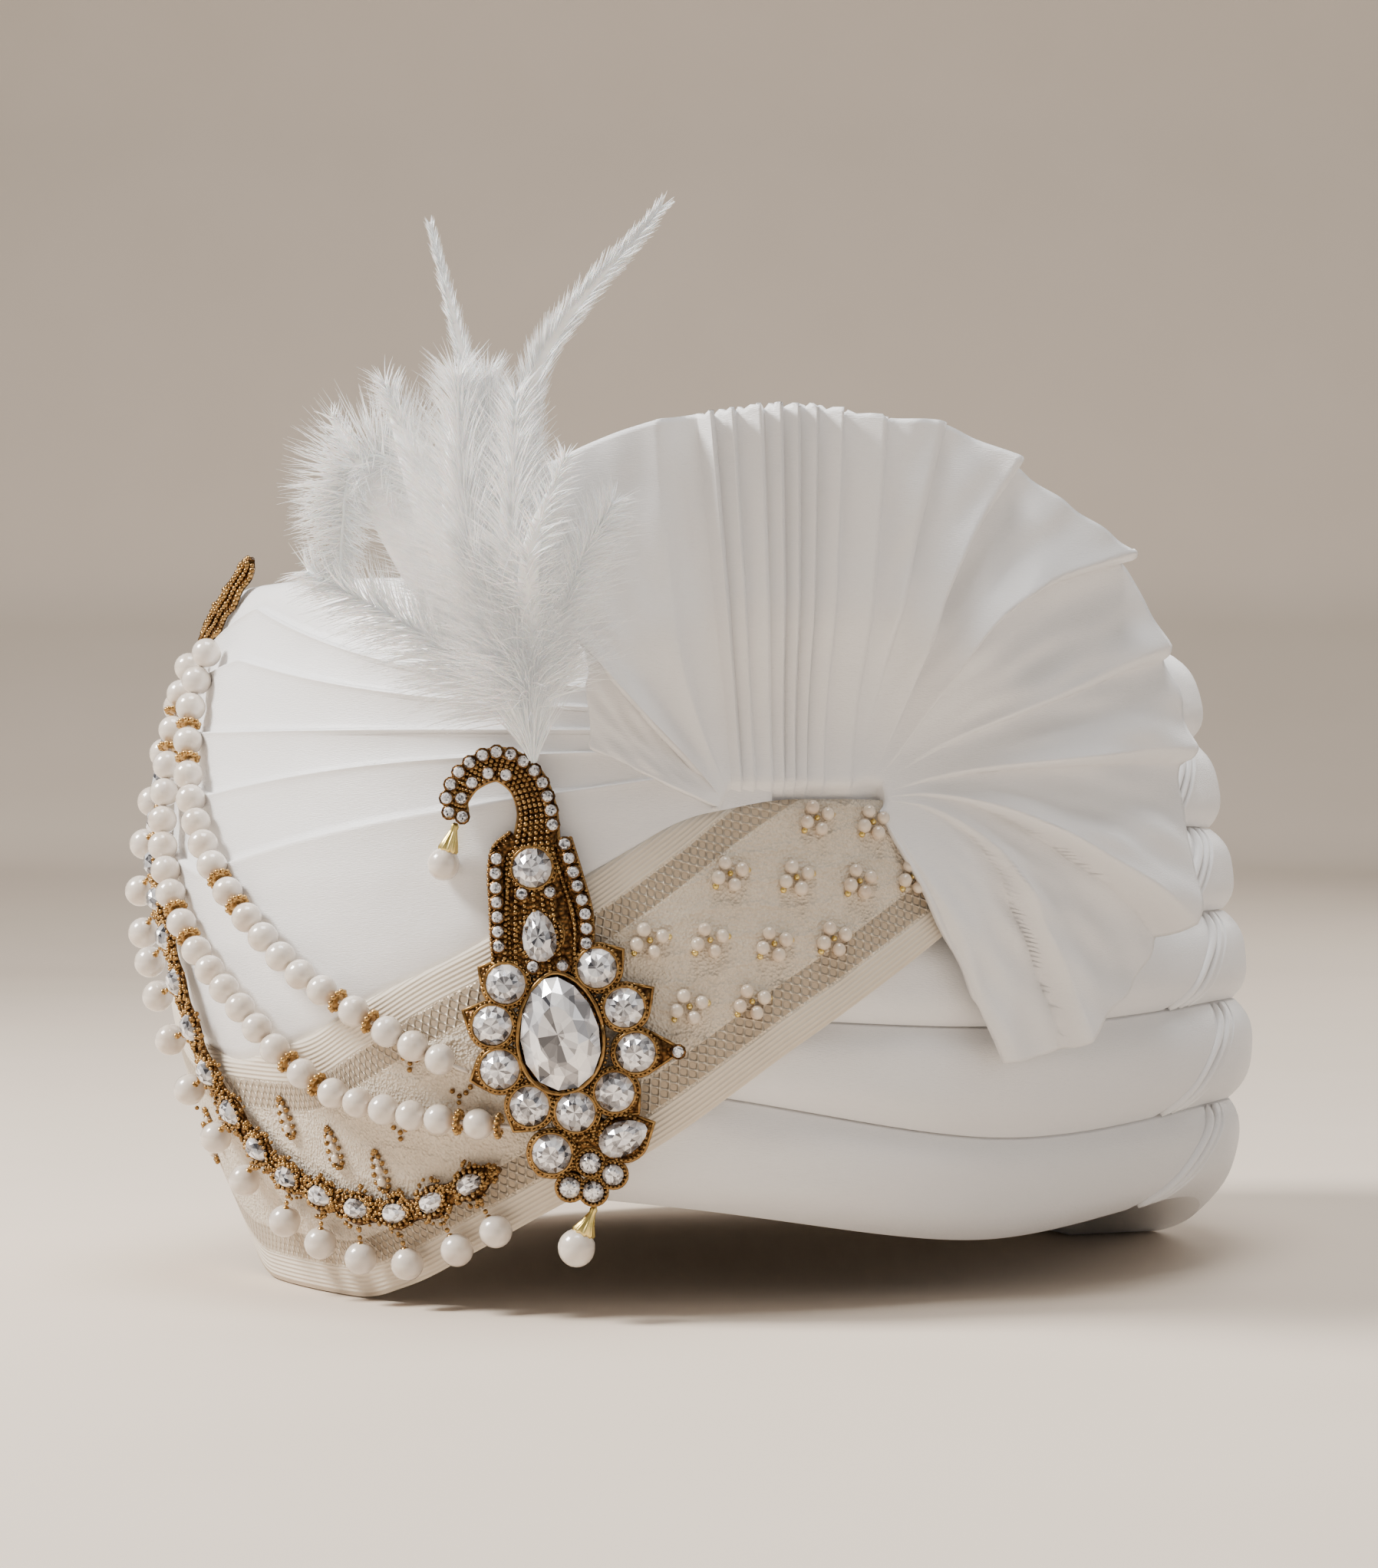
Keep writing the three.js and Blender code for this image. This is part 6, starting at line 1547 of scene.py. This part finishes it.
mirror = lambda rows: rows + [[-a, z] for a, z in rows]
behind = np.array([row for row in mirror(CLUSTERS) + RIGHT_ROWS if row[0] < 0], float)
from_low = band_uv(behind[:, :1], behind[:, 1:])[:, 0, 1]
cluster_places = CLUSTERS + behind[(from_low > FIELD_FROM) & (from_low < FIELD_TO)].tolist()
petal_turn = np.radians([20, 115, 200, 290])
pearl_offsets = np.stack([np.cos(petal_turn), np.sin(petal_turn)], -1) * 2.75
scatter("lace_pearls", spots_about(cluster_places, pearl_offsets, 1.3), 3.4,
        SMALL_PEARL_SKIN, "pearl", (8, 12))
scatter("lace_centres", spots_about(cluster_places, [[0, 0], [3.9, 0.8], [-3.2, -3.0]], 0.7), 1.5,
        YELLOW_GOLD, "gold")
t = around(15)
motif_line = np.stack([2.4 * np.cos(t) * (1 - 0.6 * (1 + np.sin(t)) / 2), 5.0 * np.sin(t)], -1)
scatter("lace_drop_beads", spots_about(mirror(MOTIFS), motif_line, 0.8), 1.35, GRAIN_GOLD, "gold")
scatter("lace_drop_pearls", spots_about(mirror(MOTIFS), [[0, -2.6], [0, 0.3], [0, 2.6]], 0.9),
        [2.4, 2.0, 1.6] * 6, SMALL_PEARL_SKIN, "pearl")
MARK_OFFSETS = [[0, 0], [1.5, 0.8], [-1.4, 1.1], [2.6, 2.2], [-0.3, -1.6]]
scatter("lace_marks", spots_about(mirror(MARKS), MARK_OFFSETS, 0.7), 1.3, GRAIN_GOLD, "gold")
print("pearl groups on the lace", len(cluster_places))

# %% [markdown]
# The room. A pale floor that turns up into a backdrop far behind, and four soft square lights: a strong
# one from the left of the picture for the shape of the folds, a wide low fill from its right, one from
# above and one from behind. White satin shows its form only by slow changes of light, so none is small.

# %% Floor and lights
floor_run = np.array([[-2600, 0], [1500, 0], [2100, 60], [2500, 300], [2680, 800], [2700, 2600]], float)
bend_at = np.linspace(0, len(floor_run) - 1, 60)
floor_depth = np.interp(bend_at, np.arange(len(floor_run)), floor_run[:, 0])
floor_up = np.interp(bend_at, np.arange(len(floor_run)), floor_run[:, 1])
view_away = np.array([-math.sin(VIEW_TURN), math.cos(VIEW_TURN), 0])
view_side = np.array([math.cos(VIEW_TURN), math.sin(VIEW_TURN), 0])
floor_points = (floor_depth[:, None, None] * view_away + floor_up[:, None, None] * [0, 0, 1]
                + np.linspace(-4000, 4000, 5)[None, :, None] * view_side - [0, 0, 0.4])
floor = build("pale_floor", floor_points.reshape(-1, 3), grid_faces(60, 5)[:, ::-1])
floor_finish = Finish("pale_floor", Specular_IOR_Level=0.2)
floor.data.materials.append(floor_finish.set(
    Base_Color=floor_finish.mix(floor_finish.noise(9, 3), (0.66, 0.56, 0.46), (0.70, 0.60, 0.50)),
    Roughness=0.8 + 0.05 * floor_finish.noise(30, 2)))


def softbox(name, turn, height, distance, size, power, colour):
    """Square area light at an angle from the front, aimed at the middle of the turban."""
    lamp = bpy.data.objects.new(name, bpy.data.lights.new(name, "AREA"))
    bpy.context.scene.collection.objects.link(lamp)
    lamp.data.size, lamp.data.energy, lamp.data.color = size, power, colour
    at = to_frame(polar(turn, distance, height))
    lamp.location = at
    aim = np.array([0.0, 0.0, 0.11]) - at
    level = math.hypot(aim[0], aim[1])
    facing = math.atan2(aim[1], aim[0]) - math.pi / 2
    lamp.rotation_euler = (math.pi / 2 + math.atan2(aim[2], level), 0, facing)


softbox("key", -22, 1200, 1250, 0.45, 62, (1.0, 0.98, 0.95))
softbox("fill", 110, 400, 1900, 1.6, 6, (0.95, 0.97, 1.0))
softbox("top", 60, 1700, 300, 0.7, 20, (1.0, 1.0, 1.0))
softbox("back", 205, 900, 1600, 1.0, 12, (1.0, 0.98, 0.95))
world = bpy.data.worlds.new("room")
bpy.context.scene.world = world
world.use_nodes = True
world.node_tree.nodes["Background"].inputs["Color"].default_value = (1.0, 0.985, 0.97, 1)
world.node_tree.nodes["Background"].inputs["Strength"].default_value = 0.3
